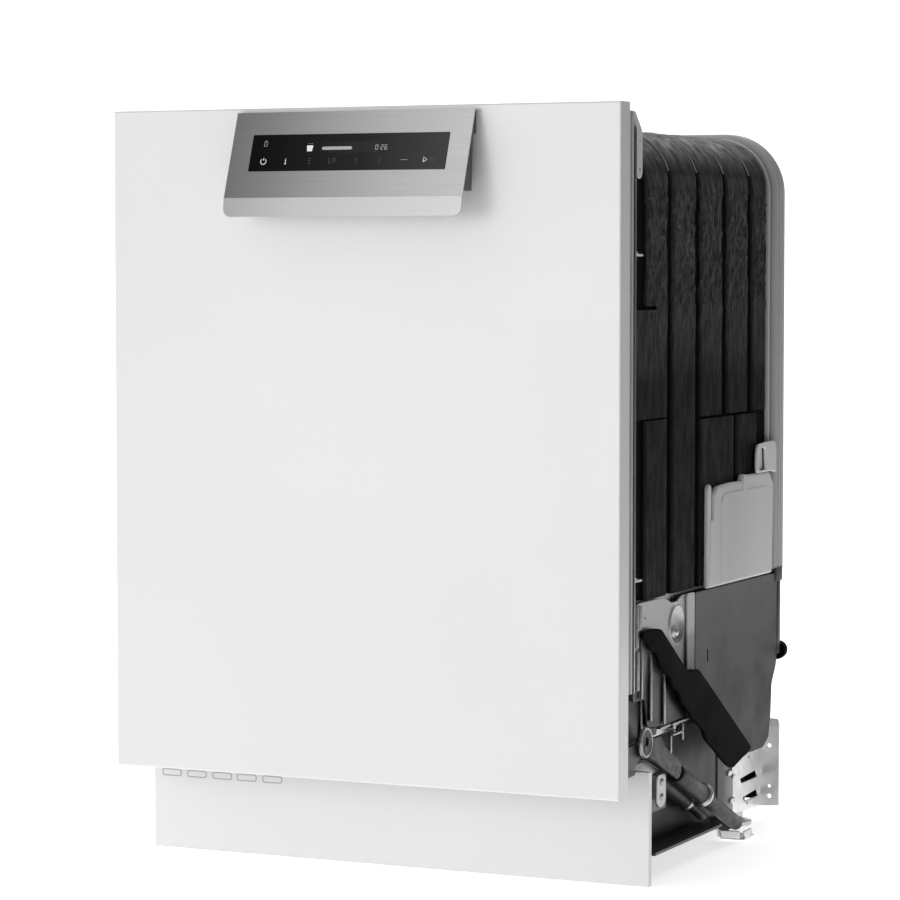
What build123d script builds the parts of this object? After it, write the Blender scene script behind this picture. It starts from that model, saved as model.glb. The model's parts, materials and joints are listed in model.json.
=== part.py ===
"""Built-in dishwasher, 596 mm wide, closed and standing on its feet.

Frame: millimetres, +X to the right, +Y to the back, +Z up.  The origin is on the floor,
under the middle of the whole object, so the door faces -Y.
Each sub-part is written to parts/ as its own STEP file.
"""

from build123d import *

import math
import os

os.makedirs("parts", exist_ok=True)

# ---- driving dimensions ---------------------------------------------------------------
WIDTH = 596.0  # door and toe kick
HEIGHT = 820.0
DEPTH = 590.0  # from the grip's lip to the rear spigots
GRIP_REACH = 44.0  # how far the control fascia stands out from the door
HALF = WIDTH / 2

DOOR_Y = -DEPTH / 2 + GRIP_REACH  # front face of the door
DOOR_BOTTOM = 103.0
SKIN_DEPTH = 24.0
DOOR_DEPTH = 50.0
SHEET = 1.2

HINGE_Y = DOOR_Y + 45.0
HINGE_Z = 130.0

TUB_HALF = 279.0
TUB_TOP = 793.0
TUB_FLOOR = 150.0
TUB_RADIUS = 58.0
TUB_WALL = 1.5
TUB_FRONT = DOOR_Y + 58.0
TUB_REAR = DOOR_Y + 520.0
FRAME_FRONT = DOOR_Y + 52.0

MAT = 4.0
SIDE = 289.0  # outer face of the hinge plates and side shields
BASE_HALF = 255.0
BASE_FRONT = DOOR_Y + 122.0
BASE_REAR = DOOR_Y + 440.0
BASE_Z = 26.0
KICK_Y = DOOR_Y + 83.0
KICK_TOP = 121.0

SPRAY_Y = DOOR_Y + 290.0
RACK_HALF = 255.0
RACK_FRONT = DOOR_Y + 80.0
RACK_REAR = DOOR_Y + 484.0
RACK_MID = (RACK_FRONT + RACK_REAR) / 2
RACK_LONG = RACK_REAR - RACK_FRONT
WIRE = 3.6


# ---- helpers ---------------------------------------------------------------------------
def save(part, name):
    """Labels a finished piece and writes its STEP file."""
    part.label = name
    export_step(part, f"parts/{name}.step")


def save_pair(part, name):
    """Writes the right-hand piece and its mirror image for the left, each in its own node."""
    save(part, name + "_right")
    save(mirror(part, about=Plane.YZ), name + "_left")


def save_twins(part, name):
    """Writes the right-hand piece and its mirror image as two separate solids of one node."""
    save(Compound(children=[*part.solids(), *mirror(part, about=Plane.YZ).solids()]), name)


def block(x, y, z, mode=Mode.ADD):
    """A box from three (low, high) pairs."""
    with Locations(((x[0] + x[1]) / 2, (y[0] + y[1]) / 2, (z[0] + z[1]) / 2)):
        Box(x[1] - x[0], y[1] - y[0], z[1] - z[0], mode=mode)


def rod(centre, radius, length, axis="Z", mode=Mode.ADD):
    """A cylinder centred on a point, along X, Y or Z."""
    turn = {"X": (0, 90, 0), "Y": (90, 0, 0), "Z": (0, 0, 0)}[axis]
    with Locations(Location(centre, turn)):
        Cylinder(radius, length, mode=mode)


def side_plate(points, x, thick, corner=0.0, mode=Mode.ADD):
    """A flat YZ plate from x to x + thick, through points of (y from the door face, z)."""
    with BuildSketch(Plane.YZ.offset(x)) as outline:
        with BuildLine():
            Polyline(*[(DOOR_Y + y, z) for y, z in points], close=True)
        make_face()
        if corner:
            fillet(outline.vertices(), corner)
    extrude(outline.sketch, amount=thick, mode=mode)


def arch(half, top, bottom, radius, y, depth, mode=Mode.ADD):
    """A block with an arched outline: flat sides, a flat top and two rounded upper corners."""
    with BuildSketch(Plane.XZ.offset(-y)) as outline:
        with Locations((0, (top + bottom) / 2)):
            Rectangle(2 * half, top - bottom)
        fillet(outline.vertices().group_by(Axis.Y)[-1], radius)
    extrude(outline.sketch, amount=-depth, mode=mode)


def arch_band(half, top, bottom, radius, wall, y, depth):
    """An arched sheet, open below: the outer arch less one that is smaller by the wall."""
    arch(half, top, bottom, radius, y, depth)
    arch(half - wall, top - wall, bottom - 1, max(radius - wall, 0.5), y - 1, depth + 2, mode=Mode.SUBTRACT)


# ---- tub ---------------------------------------------------------------------------------
with BuildPart() as tub_wrapper:
    arch_band(TUB_HALF, TUB_TOP, TUB_FLOOR, TUB_RADIUS, TUB_WALL, TUB_FRONT, TUB_REAR - TUB_FRONT)
save(tub_wrapper.part, "tub_wrapper")

SUMP_R = 75.0
INSIDE = TUB_HALF - TUB_WALL
with BuildPart() as tub_floor:
    block((-INSIDE, INSIDE), (TUB_FRONT, TUB_REAR - 2), (TUB_FLOOR, TUB_FLOOR + 2))
    rod((0, SPRAY_Y, TUB_FLOOR), SUMP_R, 20, mode=Mode.SUBTRACT)
save(tub_floor.part, "tub_floor")

with BuildPart() as tub_back:
    arch(INSIDE, TUB_TOP - TUB_WALL, TUB_FLOOR, TUB_RADIUS - TUB_WALL, TUB_REAR - 2, 2)
    for x in (-150, -50, 50, 150):
        block((x - 15, x + 15), (TUB_REAR, TUB_REAR + 4), (330, 700))
save(tub_back.part, "tub_back")

FIT = 0.3  # gap between sheets that lie on one another
RIM_OUT = 11.0
RIM_Y = DOOR_Y + 504.0
RIM_DEPTH = 20.0
RIM_BOTTOM = 300.0
with BuildPart() as rear_rim:
    arch_band(TUB_HALF + 8, TUB_TOP + 8, RIM_BOTTOM, TUB_RADIUS + 8, 8 - FIT, RIM_Y, RIM_DEPTH)
    for bead in (0, 8, 16):
        arch_band(
            TUB_HALF + RIM_OUT,
            TUB_TOP + RIM_OUT,
            RIM_BOTTOM,
            TUB_RADIUS + RIM_OUT,
            RIM_OUT - FIT,
            RIM_Y + bead,
            4,
        )
save(rear_rim.part, "rear_rim")

FRAME_HALF = 292.0
LEVER_CLEAR_Z = 200.0  # the frame stops above the hinge levers
FRAME_TOP = 806.0
with BuildPart() as front_frame:
    arch(FRAME_HALF, FRAME_TOP, TUB_FLOOR - 8, 14, FRAME_FRONT, 6)
    arch(TUB_HALF - 12, TUB_TOP - 12, TUB_FLOOR, TUB_RADIUS - 12, FRAME_FRONT - 1, 8, mode=Mode.SUBTRACT)
    for x in (-286, 286):
        block(
            (x - 15, x + 15),
            (FRAME_FRONT - 1, FRAME_FRONT + 7),
            (TUB_FLOOR - 9, LEVER_CLEAR_Z),
            mode=Mode.SUBTRACT,
        )
save(front_frame.part, "front_frame")

with BuildPart() as door_gasket:
    arch_band(
        TUB_HALF - 12,
        TUB_TOP - 12,
        TUB_FLOOR + 2.3,
        TUB_RADIUS - 12,
        8,
        DOOR_Y + DOOR_DEPTH + 0.4,
        12,
    )
save(door_gasket.part, "door_gasket")

BRACKET_X = 287.0
BRACKET_HOLES_Z = (752.0, 782.0)
BRACKET_HOLE_Y = 73.0
with BuildPart() as cabinet_bracket:
    side_plate([(58, 745), (79, 745), (79, 793), (58, 812)], BRACKET_X, 2)
    block((BRACKET_X - 8, BRACKET_X), (DOOR_Y + 58, DOOR_Y + 60), (745, 796))
    side_plate([(62, 757), (65, 757), (65, 787), (62, 787)], BRACKET_X - 1, 4, mode=Mode.SUBTRACT)
    for z in BRACKET_HOLES_Z:
        rod((BRACKET_X, DOOR_Y + BRACKET_HOLE_Y, z), 2.25, 12, "X", mode=Mode.SUBTRACT)
save_twins(cabinet_bracket.part, "cabinet_brackets")

MAT_EDGES = ((100, 176), (180, 260), (264, 344), (348, 427), (431, 490))
with BuildPart() as bitumen_mats:
    for front, back in MAT_EDGES:
        arch_band(
            TUB_HALF + MAT,
            TUB_TOP + MAT,
            RIM_BOTTOM,
            TUB_RADIUS + MAT,
            MAT - FIT,
            DOOR_Y + front,
            back - front,
        )
save(bitumen_mats.part, "bitumen_mats")

# ---- water side ----------------------------------------------------------------------------
TANK_X = TUB_HALF + MAT + 0.3
with BuildPart() as water_reservoir:
    side_plate(
        [(303, 297), (500, 297), (500, 414), (396, 414), (396, 406), (330, 405), (303, 396)], TANK_X, 8, 2.5
    )
    side_plate([(280, 297), (294, 297), (294, 400), (288, 408), (280, 410)], TANK_X, 6, 1.5)
    block((TANK_X, TANK_X + 4), (DOOR_Y + 290, DOOR_Y + 306), (310, 330))
save(water_reservoir.part, "water_reservoir")
with BuildPart() as air_break:
    side_plate([(428, 414.3), (488, 414.3), (488, 447), (442, 447), (428, 438)], TANK_X, 7, 3)
save(air_break.part, "air_break")

# ---- side plates on both sides ----------------------------------------------------------------
SHIELD_REAR = [
    (490, 295.5),
    (512, 294),
    (514, 215),
    (510, 188),
    (495, 167.5),
    (492, 132),
    (485, 106),
    (467, 96.5),
    (429, 96),
]
with BuildPart() as side_shield:
    side_plate([(243.5, 296), *SHIELD_REAR, (405, 99), (243.5, 200)], SIDE - 3, 3, 4)
    side_plate([(281, 216), (283, 216), (283, 230), (281, 230)], SIDE - 4, 5, mode=Mode.SUBTRACT)
save_twins(side_shield.part, "side_shields")

DISH_Y, DISH_Z, DISH_R = 192.5, 266.0, 20.5
PLATE_TOP = [(66, 296), (87, 299), (153, 298.5), (168, 295), (178, 291), (195, 291), (209, 296), (243, 296)]
with BuildPart() as hinge_plate:
    side_plate([*PLATE_TOP, (243, 165), (108, 165), (100, 196), (66, 196)], SIDE - 5, 2, 2)
    side_plate([(219, 296), (243, 296), (243, 165), (219, 165)], SIDE - 3, 3, 1)
    rod((SIDE - 4, DOOR_Y + DISH_Y, DISH_Z), DISH_R, 20, "X", mode=Mode.SUBTRACT)
    rod((SIDE - 4.5, DOOR_Y + DISH_Y, DISH_Z), DISH_R, 3, "X")
    rod((SIDE - 3.5, DOOR_Y + DISH_Y, DISH_Z), DISH_R - 4, 3, "X", mode=Mode.SUBTRACT)
    for y in (120, 158):
        block((SIDE - 3, SIDE), (DOOR_Y + y - 2, DOOR_Y + y + 2), (168, 240))
save_twins(hinge_plate.part, "hinge_plates")

GUARD_TOP = [(76, 270), (130, 268), (212, 212), (242, 213), (414, 104)]
GUARD_TIP = [(384, 96), (351, 89), (322, 100), (265, 132)]
GUARD_SCALLOPS = [
    (256, 144),
    (213, 169),
    (189, 184),
    (161, 204),
    (130, 226),
    (114, 244),
    (94, 250),
    (74, 264),
]
with BuildPart() as cable_guard:
    side_plate(GUARD_TOP + GUARD_TIP + GUARD_SCALLOPS, SIDE + 0.3, 5, 2)
save_twins(cable_guard.part, "cable_guards")

# ---- base ---------------------------------------------------------------------------------------
FOOT_FRONT = (238.0, DOOR_Y + 172.0)
FOOT_REAR = (245.0, DOOR_Y + 488.0)
STUD_R = 5.0
STUD_LONG = 112.0  # leaves 50 mm of height adjustment in the socket
TRAY_WALL = 3.0
TRAY_TOP = 142.0
with BuildPart() as base_tray:
    block((-BASE_HALF, BASE_HALF), (BASE_FRONT, BASE_REAR), (BASE_Z, TRAY_TOP))
    block(
        (-BASE_HALF + TRAY_WALL, BASE_HALF - TRAY_WALL),
        (BASE_FRONT + TRAY_WALL, BASE_REAR - TRAY_WALL),
        (BASE_Z + TRAY_WALL, TRAY_TOP + 1),
        mode=Mode.SUBTRACT,
    )
    block((-290, 290), (BASE_FRONT, DOOR_Y + 326), (BASE_Z, BASE_Z + TRAY_WALL))
    for x in (-FOOT_FRONT[0], FOOT_FRONT[0]):
        rod((x, FOOT_FRONT[1], BASE_Z), STUD_R + 1, 12, mode=Mode.SUBTRACT)
save(base_tray.part, "base_tray")

LEG_X = BASE_HALF + 0.2
LEG_REAR = DOOR_Y + 545.0
LEG_HOLES_Z = (27.0, 87.0)
LEG_HOLE_X = LEG_X + 14
with BuildPart() as rear_leg:
    side_plate([(400, 20), (545, 20), (545, 115), (400, 115)], LEG_X, 2, 1)
    block((LEG_X, LEG_X + 26), (LEG_REAR - 2, LEG_REAR), (20, 115))
    for z in (38, 60):
        side_plate([(462, z), (525, z), (525, z + 6), (462, z + 6)], LEG_X - 1, 4, mode=Mode.SUBTRACT)
    for z in LEG_HOLES_Z:
        rod((LEG_HOLE_X, LEG_REAR, z), 2.5, 12, "Y", mode=Mode.SUBTRACT)
save_twins(rear_leg.part, "rear_legs")


def levelling_foot(x, y):
    """A pad with a threaded stud and a hexagon, standing on the floor."""
    rod((x, y, 4), 21, 8)
    rod((x, y, 8 + STUD_LONG / 2), STUD_R, STUD_LONG)
    with BuildSketch(Plane.XY.offset(8)) as hexagon:
        with Locations((x, y)):
            RegularPolygon(9, 6)
    extrude(hexagon.sketch, amount=8)


def foot_socket(x, y, z0, z1):
    """The threaded boss that a levelling foot screws into."""
    block((x - 10, x + 10), (y - 10, y + 10), (z0, z1))
    rod((x, y, (z0 + z1) / 2), STUD_R + 0.06, z1 - z0 + 2, mode=Mode.SUBTRACT)


with BuildPart() as foot_front:
    levelling_foot(*FOOT_FRONT)
save_pair(foot_front.part, "foot_front")
with BuildPart() as foot_rear:
    levelling_foot(*FOOT_REAR)
save_pair(foot_rear.part, "foot_rear")
with BuildPart() as foot_sockets:
    foot_socket(*FOOT_FRONT, BASE_Z + TRAY_WALL + 0.2, 66)
    foot_socket(*FOOT_REAR, 26, 66)
save_twins(foot_sockets.part, "foot_sockets")

# ---- toe kick ----------------------------------------------------------------------------------
with BuildPart() as toe_kick:
    block((-HALF, HALF), (KICK_Y, KICK_Y + 8), (0, KICK_TOP))
    block(
        (-HALF + SHEET, HALF - SHEET),
        (KICK_Y + SHEET, KICK_Y + 9),
        (-1, KICK_TOP - SHEET),
        mode=Mode.SUBTRACT,
    )
save(toe_kick.part, "toe_kick")
with BuildPart() as toe_kick_pad:
    block((-288, 288), (KICK_Y + 8.2, KICK_Y + 12), (8, KICK_TOP - 3))
    for x in (-180, 180):
        block((x - 15, x + 15), (KICK_Y + 12, BASE_FRONT - 0.2), (60, 64))
save(toe_kick_pad.part, "toe_kick_pad")

# ---- hinges and door springs ----------------------------------------------------------------------
PIN_R = 4.0
LEVER = 44.0  # from the hinge axis to the spring link's pin
LEVER_ANGLE = 21.2  # of the closed lever above the horizontal
OPEN = 90.0
LINK_DIR = (math.cos(math.radians(LEVER_ANGLE + 45)), math.sin(math.radians(LEVER_ANGLE + 45)))
AXIS_DIR = (LINK_DIR[1], -LINK_DIR[0])  # down and back, along the spring
LINK_PIN = (
    HINGE_Y + LEVER * math.cos(math.radians(LEVER_ANGLE)),
    HINGE_Z + LEVER * math.sin(math.radians(LEVER_ANGLE)),
)
RISE = LEVER * (1 - math.cos(math.radians(OPEN / 2)))  # how far the pin strays from the spring's line
HEAD = (LINK_PIN[0] + LINK_DIR[0] * RISE / 2, LINK_PIN[1] + LINK_DIR[1] * RISE / 2)
SLOT_WIDE = 9.6
SPRING_X = 284.0
LINK_X = 289.5
SPRING_PLANE = Plane(origin=(0, HEAD[0], HEAD[1]), x_dir=(0, AXIS_DIR[0], AXIS_DIR[1]), z_dir=(1, 0, 0))


def along(distance):
    """A point on the spring's line, measured down from the link's head."""
    return (SPRING_X, HEAD[0] + AXIS_DIR[0] * distance, HEAD[1] + AXIS_DIR[1] * distance)


def spring_plane(distance):
    """A plane across the spring's line, facing down it."""
    return Plane(origin=along(distance), x_dir=(1, 0, 0), z_dir=(0, AXIS_DIR[0], AXIS_DIR[1]))


with BuildPart() as spring_link:
    with BuildSketch(SPRING_PLANE.offset(LINK_X)) as bar:
        with Locations((50, 0)):
            Rectangle(120, 20)
        RectangleRounded(26, 34, 10)
        SlotOverall(RISE + SLOT_WIDE, SLOT_WIDE, rotation=90, mode=Mode.SUBTRACT)
    extrude(bar.sketch, amount=4)
    with BuildSketch(spring_plane(96)) as stem:
        Circle(6)
    extrude(stem.sketch, amount=180)
save_twins(spring_link.part, "spring_links")

BORE_R = 6.4
TUBE_RUNS = ((118, 204, 11), (204, 209, 14), (209, 328, 8.5))  # from, to, outer radius
with BuildPart() as spring_tube:
    for start, end, radius in TUBE_RUNS:
        with BuildSketch(spring_plane(start)) as run:
            Circle(radius)
            Circle(BORE_R, mode=Mode.SUBTRACT)
        extrude(run.sketch, amount=end - start)
    with BuildSketch(spring_plane(326)) as cap:
        Circle(8.5)
    extrude(cap.sketch, amount=6)
    block((LEG_X, SPRING_X - 6), (DOOR_Y + 382, DOOR_Y + 394), (12, 30))
save_twins(spring_tube.part, "spring_tubes")

LEVER_X = 283.0
PIN_Y, PIN_Z = LINK_PIN[0] - DOOR_Y, LINK_PIN[1]
with BuildPart() as hinge_lever:
    side_plate(
        [
            (28, 118),
            (52, 118),
            (PIN_Y + 4, PIN_Z - 8),
            (PIN_Y + 4, PIN_Z + 8),
            (50, 150),
            (48, 205),
            (28, 205),
        ],
        LEVER_X,
        4,
        3,
    )
    rod((LEVER_X, HINGE_Y, HINGE_Z), PIN_R + 0.05, 20, "X", mode=Mode.SUBTRACT)
    rod((288.9, LINK_PIN[0], LINK_PIN[1]), 3, 9.8, "X")
save_twins(hinge_lever.part, "hinge_levers")

HINGE_BRACKET_X = 273.0
with BuildPart() as hinge_bracket:
    side_plate(
        [
            (37, 128),
            (45, 121),
            (53, 123),
            (98, 123),
            (98, 68),
            (186, 68),
            (190, 118),
            (180, 141),
            (170, 147),
            (60, 147),
            (40, 142),
        ],
        HINGE_BRACKET_X,
        4,
        2,
    )
    block((LEG_X, HINGE_BRACKET_X), (DOOR_Y + 125, DOOR_Y + 158), (88, 112))
    rod((HINGE_BRACKET_X + 7.3, HINGE_Y, HINGE_Z), PIN_R, 14.6, "X")
save_twins(hinge_bracket.part, "hinge_brackets")

# ---- door ------------------------------------------------------------------------------------------
with BuildPart() as door_skin:
    block((-HALF, HALF), (DOOR_Y, DOOR_Y + SKIN_DEPTH), (DOOR_BOTTOM, HEIGHT))
    fillet(door_skin.edges().group_by(Axis.Y)[0], 2.0)
    block(
        (-HALF + SHEET, HALF - SHEET),
        (DOOR_Y + SHEET, DOOR_Y + SKIN_DEPTH + 1),
        (DOOR_BOTTOM + SHEET, HEIGHT - SHEET),
        mode=Mode.SUBTRACT,
    )
save(door_skin.part, "door_skin")

LINER_HALF = 272.0
LINER_Y = DOOR_Y + SKIN_DEPTH + 1
LINER_BACK = DOOR_Y + DOOR_DEPTH
DISP_X, DISP_Z = (-86.0, 86.0), (430.0, 540.0)
LATCH_X, LATCH_Z = (-32.0, 32.0), (776.0, 802.0)
with BuildPart() as door_liner:
    block((-LINER_HALF, LINER_HALF), (LINER_Y, LINER_BACK), (112, 808))
    fillet(door_liner.edges().filter_by(Axis.Y), 12)
    block(
        (-LINER_HALF + 8, LINER_HALF - 8),
        (LINER_Y - 1, LINER_BACK - SHEET),
        (120, 800),
        mode=Mode.SUBTRACT,
    )
    block(DISP_X, (LINER_Y, LINER_BACK + 1), DISP_Z, mode=Mode.SUBTRACT)
    block(LATCH_X, (LINER_Y, LINER_BACK + 1), (LATCH_Z[0], 810), mode=Mode.SUBTRACT)
save(door_liner.part, "door_liner")

with BuildPart() as door_insulation:
    block((-262, 262), (DOOR_Y + 3, DOOR_Y + 20), (230, 690))
save(door_insulation.part, "door_insulation")

with BuildPart() as door_side_trim:
    block((283, 292), (DOOR_Y + SKIN_DEPTH + 0.4, DOOR_Y + DOOR_DEPTH), (208, 812))
    for y in (32, 41):
        block((289, 293), (DOOR_Y + y, DOOR_Y + y + 4), (207, 813), mode=Mode.SUBTRACT)
    block((LINER_HALF + 0.3, 283), (DOOR_Y + 34, DOOR_Y + 38), (220, 800))
save_twins(door_side_trim.part, "door_side_trims")

# ---- control fascia and grip -------------------------------------------------------------------------
FASCIA_HALF = 139.0
FASCIA_TOP = 815.0
BEND_Z = 724.0
LIP_Z = 704.0
BEND_OUT = 41.5
TOP_OUT = 9.0
FASCIA_SHEET = 1.5
FACE_SLOPE = math.degrees(math.atan2(BEND_OUT - TOP_OUT, FASCIA_TOP - BEND_Z))
FACE_MID_Z = 771.5
FACE_OUT = TOP_OUT + (FASCIA_TOP - FACE_MID_Z) * math.tan(math.radians(FACE_SLOPE))
FACE = Plane(
    origin=(0, DOOR_Y - FACE_OUT, FACE_MID_Z),
    x_dir=(1, 0, 0),
    z_dir=(0, -math.cos(math.radians(FACE_SLOPE)), math.sin(math.radians(FACE_SLOPE))),
)
GLASS = (230.0, 41.0)
with BuildPart() as control_fascia:
    side_plate(
        [
            (-0.3, FASCIA_TOP),
            (-TOP_OUT, FASCIA_TOP),
            (-BEND_OUT, BEND_Z),
            (-GRIP_REACH, LIP_Z),
            (-GRIP_REACH + 1.5, LIP_Z),
            (-BEND_OUT + 1.6, BEND_Z + 0.5),
            (-TOP_OUT + 1.2, FASCIA_TOP - FASCIA_SHEET),
            (-0.3, FASCIA_TOP - FASCIA_SHEET),
        ],
        -FASCIA_HALF,
        2 * FASCIA_HALF,
    )
    lower = control_fascia.edges().filter_by(Axis.Y, tolerance=1).group_by(Axis.Z)[0]
    with BuildSketch(FACE.offset(-6)) as window:
        RectangleRounded(GLASS[0] + 0.4, GLASS[1] + 0.4, 1.2)
    extrude(window.sketch, amount=12, mode=Mode.SUBTRACT)
    fillet(lower, 9)
save(control_fascia.part, "control_fascia")

with BuildPart() as control_housing:
    side_plate(
        [(-0.3, 813), (-7.2, 813), (-37, 730), (-12, 730), (-9, 788), (-0.3, 790)],
        -FASCIA_HALF + 2.5,
        2 * FASCIA_HALF - 5,
    )
    with BuildSketch(FACE.offset(-7)) as seat:
        Rectangle(GLASS[0] + 1, GLASS[1] + 1)
    extrude(seat.sketch, amount=12, mode=Mode.SUBTRACT)
save(control_housing.part, "control_housing")

with BuildPart() as display_glass:
    with BuildSketch(FACE.offset(-1.8)) as pane:
        RectangleRounded(GLASS[0], GLASS[1], 1)
    extrude(pane.sketch, amount=2.0)
save(display_glass.part, "display_glass")

with BuildPart() as control_board:
    block((-110, 110), (DOOR_Y + 3, DOOR_Y + 20), (712, 796))
save(control_board.part, "control_board")

# ---- latch and dispenser --------------------------------------------------------------------------------
with BuildPart() as door_latch:
    block((LATCH_X[0] + 0.3, LATCH_X[1] - 0.3), (DOOR_Y + 26, LINER_BACK), (LATCH_Z[0] + 0.3, LATCH_Z[1]))
    block((-13, 13), (DOOR_Y + 32, LINER_BACK + 1), (783, 799), mode=Mode.SUBTRACT)
save(door_latch.part, "door_latch")
with BuildPart() as latch_hook:
    block((-9, 9), (DOOR_Y + 38, FRAME_FRONT - 0.1), (788, 794))
    block((-9, 9), (DOOR_Y + 38, DOOR_Y + 42), (785, 788))
save(latch_hook.part, "latch_hook")

with BuildPart() as dispenser_body:
    block(
        (DISP_X[0] + 0.3, DISP_X[1] - 0.3),
        (DOOR_Y + 26, LINER_BACK + 0.6),
        (DISP_Z[0] + 0.3, DISP_Z[1] - 0.3),
    )
    block((-76, -6), (DOOR_Y + 30, LINER_BACK + 1), (446, 524), mode=Mode.SUBTRACT)
    rod((46, LINER_BACK, 486), 17.06, 16, "Y", mode=Mode.SUBTRACT)
save(dispenser_body.part, "dispenser_body")
with BuildPart() as dispenser_lid:
    block((-80, -2), (LINER_BACK + 0.9, LINER_BACK + 3.4), (441, 529))
    block((-56, -26), (LINER_BACK + 3.4, LINER_BACK + 6), (512, 518))
save(dispenser_lid.part, "dispenser_lid")
with BuildPart() as rinse_cap:
    rod((46, LINER_BACK, 486), 17, 8, "Y")
    block((43, 49), (LINER_BACK + 4, LINER_BACK + 10), (472, 500))
save(rinse_cap.part, "rinse_cap")

# ---- sump, filter and spray arms ----------------------------------------------------------------------
with BuildPart() as sump:
    rod((0, SPRAY_Y, 125.9), SUMP_R - 0.5, 52)
    rod((0, SPRAY_Y, 130), SUMP_R - 4, 52, mode=Mode.SUBTRACT)
save(sump.part, "sump")
FILTER = (0.0, SPRAY_Y - 44.0)
with BuildPart() as filter_plate:
    rod((0, SPRAY_Y, 153.6), SUMP_R + 22, 2.8)
    rod((FILTER[0], FILTER[1], 153), 27, 12, mode=Mode.SUBTRACT)
save(filter_plate.part, "filter_plate")
with BuildPart() as filter_cup:
    rod((FILTER[0], FILTER[1], 138), 25, 40)
    rod((FILTER[0], FILTER[1], 139), 22.5, 40, mode=Mode.SUBTRACT)
    block((-23, 23), (FILTER[1] - 2, FILTER[1] + 2), (150, 164))
save(filter_cup.part, "filter_cup")


ARM_ROOT = 30.0  # half-length of the full-width middle
ARM_TIP_NEAR, ARM_TIP_FAR = 10.0, 16.0
ARM_CORNER = 7.0
ARM_TALL = 12.0


def spray_arm(y, z, reach, wide, hub):
    """Two tapered blades on a round hub, lying flat; each tip leans to its trailing side."""
    with BuildSketch(Plane.XY.offset(z)) as blades:
        with BuildLine():
            Polyline(
                (-reach, y - ARM_TIP_NEAR),
                (-ARM_ROOT, y - wide / 2),
                (ARM_ROOT, y - wide / 2),
                (reach, y - ARM_TIP_FAR),
                (reach, y + ARM_TIP_NEAR),
                (ARM_ROOT, y + wide / 2),
                (-ARM_ROOT, y + wide / 2),
                (-reach, y + ARM_TIP_FAR),
                close=True,
            )
        make_face()
        fillet(blades.vertices(), ARM_CORNER)
        with Locations((0, y)):
            Circle(hub)
    extrude(blades.sketch, amount=ARM_TALL)


ARM_Z = 182.0
HUB_Y = SPRAY_Y
with BuildPart() as spray_column:
    rod((0, HUB_Y, 165.6), 15, 21)
    rod((0, HUB_Y, 184), 6, 22)
save(spray_column.part, "spray_column")
with BuildPart() as lower_spray_arm:
    spray_arm(HUB_Y, ARM_Z, 196, 52, 30)
    rod((0, HUB_Y, ARM_Z), 6.05, 32, mode=Mode.SUBTRACT)
save(lower_spray_arm.part, "lower_spray_arm")

UPPER_Z = 470.0  # floor of the upper rack
with BuildPart() as upper_spray_arm:
    spray_arm(HUB_Y, UPPER_Z - 28, 180, 44, 24)
    rod((0, HUB_Y, UPPER_Z - 22), 5.05, 30, mode=Mode.SUBTRACT)
save(upper_spray_arm.part, "upper_spray_arm")
FEED_Y = DOOR_Y + 502.0
with BuildPart() as feed_pipe:
    block((-12, 12), (FEED_Y - 8, FEED_Y + 8), (TUB_FLOOR + 2.2, 791.3))
    block((-12, 12), (HUB_Y - 14, FEED_Y), (780, 791.3))
    rod((0, HUB_Y, 773), 34, 14)
save(feed_pipe.part, "feed_pipe")


# ---- racks -------------------------------------------------------------------------------------------
def bar_grid(plane, wide, tall, across, down):
    """A flat grid of square bars, centred on the plane's origin and one bar thick along its normal."""
    with BuildSketch(plane) as grid:
        with GridLocations(0, tall / (down - 1), 1, down):
            Rectangle(wide + WIRE, WIRE)
        with GridLocations(wide / (across - 1), 0, across, 1):
            Rectangle(WIRE, tall + WIRE)
    extrude(grid.sketch, amount=WIRE)


def basket(z, tall, across, along_y):
    """Five flat grids: a floor and two sides that end inside the bars of a front and a back."""
    wide = 2 * RACK_HALF - 2 * WIRE
    deep = RACK_LONG - 2 * WIRE
    upright = z + tall / 2
    bar_grid(Plane(origin=(0, RACK_MID, z), x_dir=(1, 0, 0), z_dir=(0, 0, 1)), wide, deep, across, along_y)
    for x in (-RACK_HALF, RACK_HALF - WIRE):
        side = Plane(origin=(x, RACK_MID, upright), x_dir=(0, 1, 0), z_dir=(1, 0, 0))
        bar_grid(side, deep, tall, along_y, 3)
    for y in (RACK_FRONT + WIRE, RACK_REAR):
        front = Plane(origin=(0, y, upright), x_dir=(1, 0, 0), z_dir=(0, -1, 0))
        bar_grid(front, 2 * RACK_HALF - WIRE, tall, across, 3)


LOWER_Z = 212.0
LOWER_TALL = 180.0
WHEEL_R = 17.0
WHEEL_Z = TUB_FLOOR + 2 + WHEEL_R + 0.3
WHEEL_YS = (DOOR_Y + 190.0, DOOR_Y + 400.0)
WHEEL_X = 248.0
with BuildPart() as lower_rack:
    basket(LOWER_Z, LOWER_TALL, 11, 9)
save(lower_rack.part, "lower_rack")
with BuildPart() as lower_axle:
    for y in WHEEL_YS:
        block((WHEEL_X - 10, WHEEL_X - 6), (y - 5, y + 5), (WHEEL_Z - 6, LOWER_Z - 0.2))
        rod((WHEEL_X, y, WHEEL_Z), 3, 13, "X")
save_twins(lower_axle.part, "lower_rack_axles")
for name, y in zip(("front", "rear"), WHEEL_YS):
    with BuildPart() as wheel:
        rod((WHEEL_X, y, WHEEL_Z), WHEEL_R, 10, "X")
        rod((WHEEL_X, y, WHEEL_Z), 3.06, 12, "X", mode=Mode.SUBTRACT)
    save_twins(wheel.part, f"rack_wheels_{name}")

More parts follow.
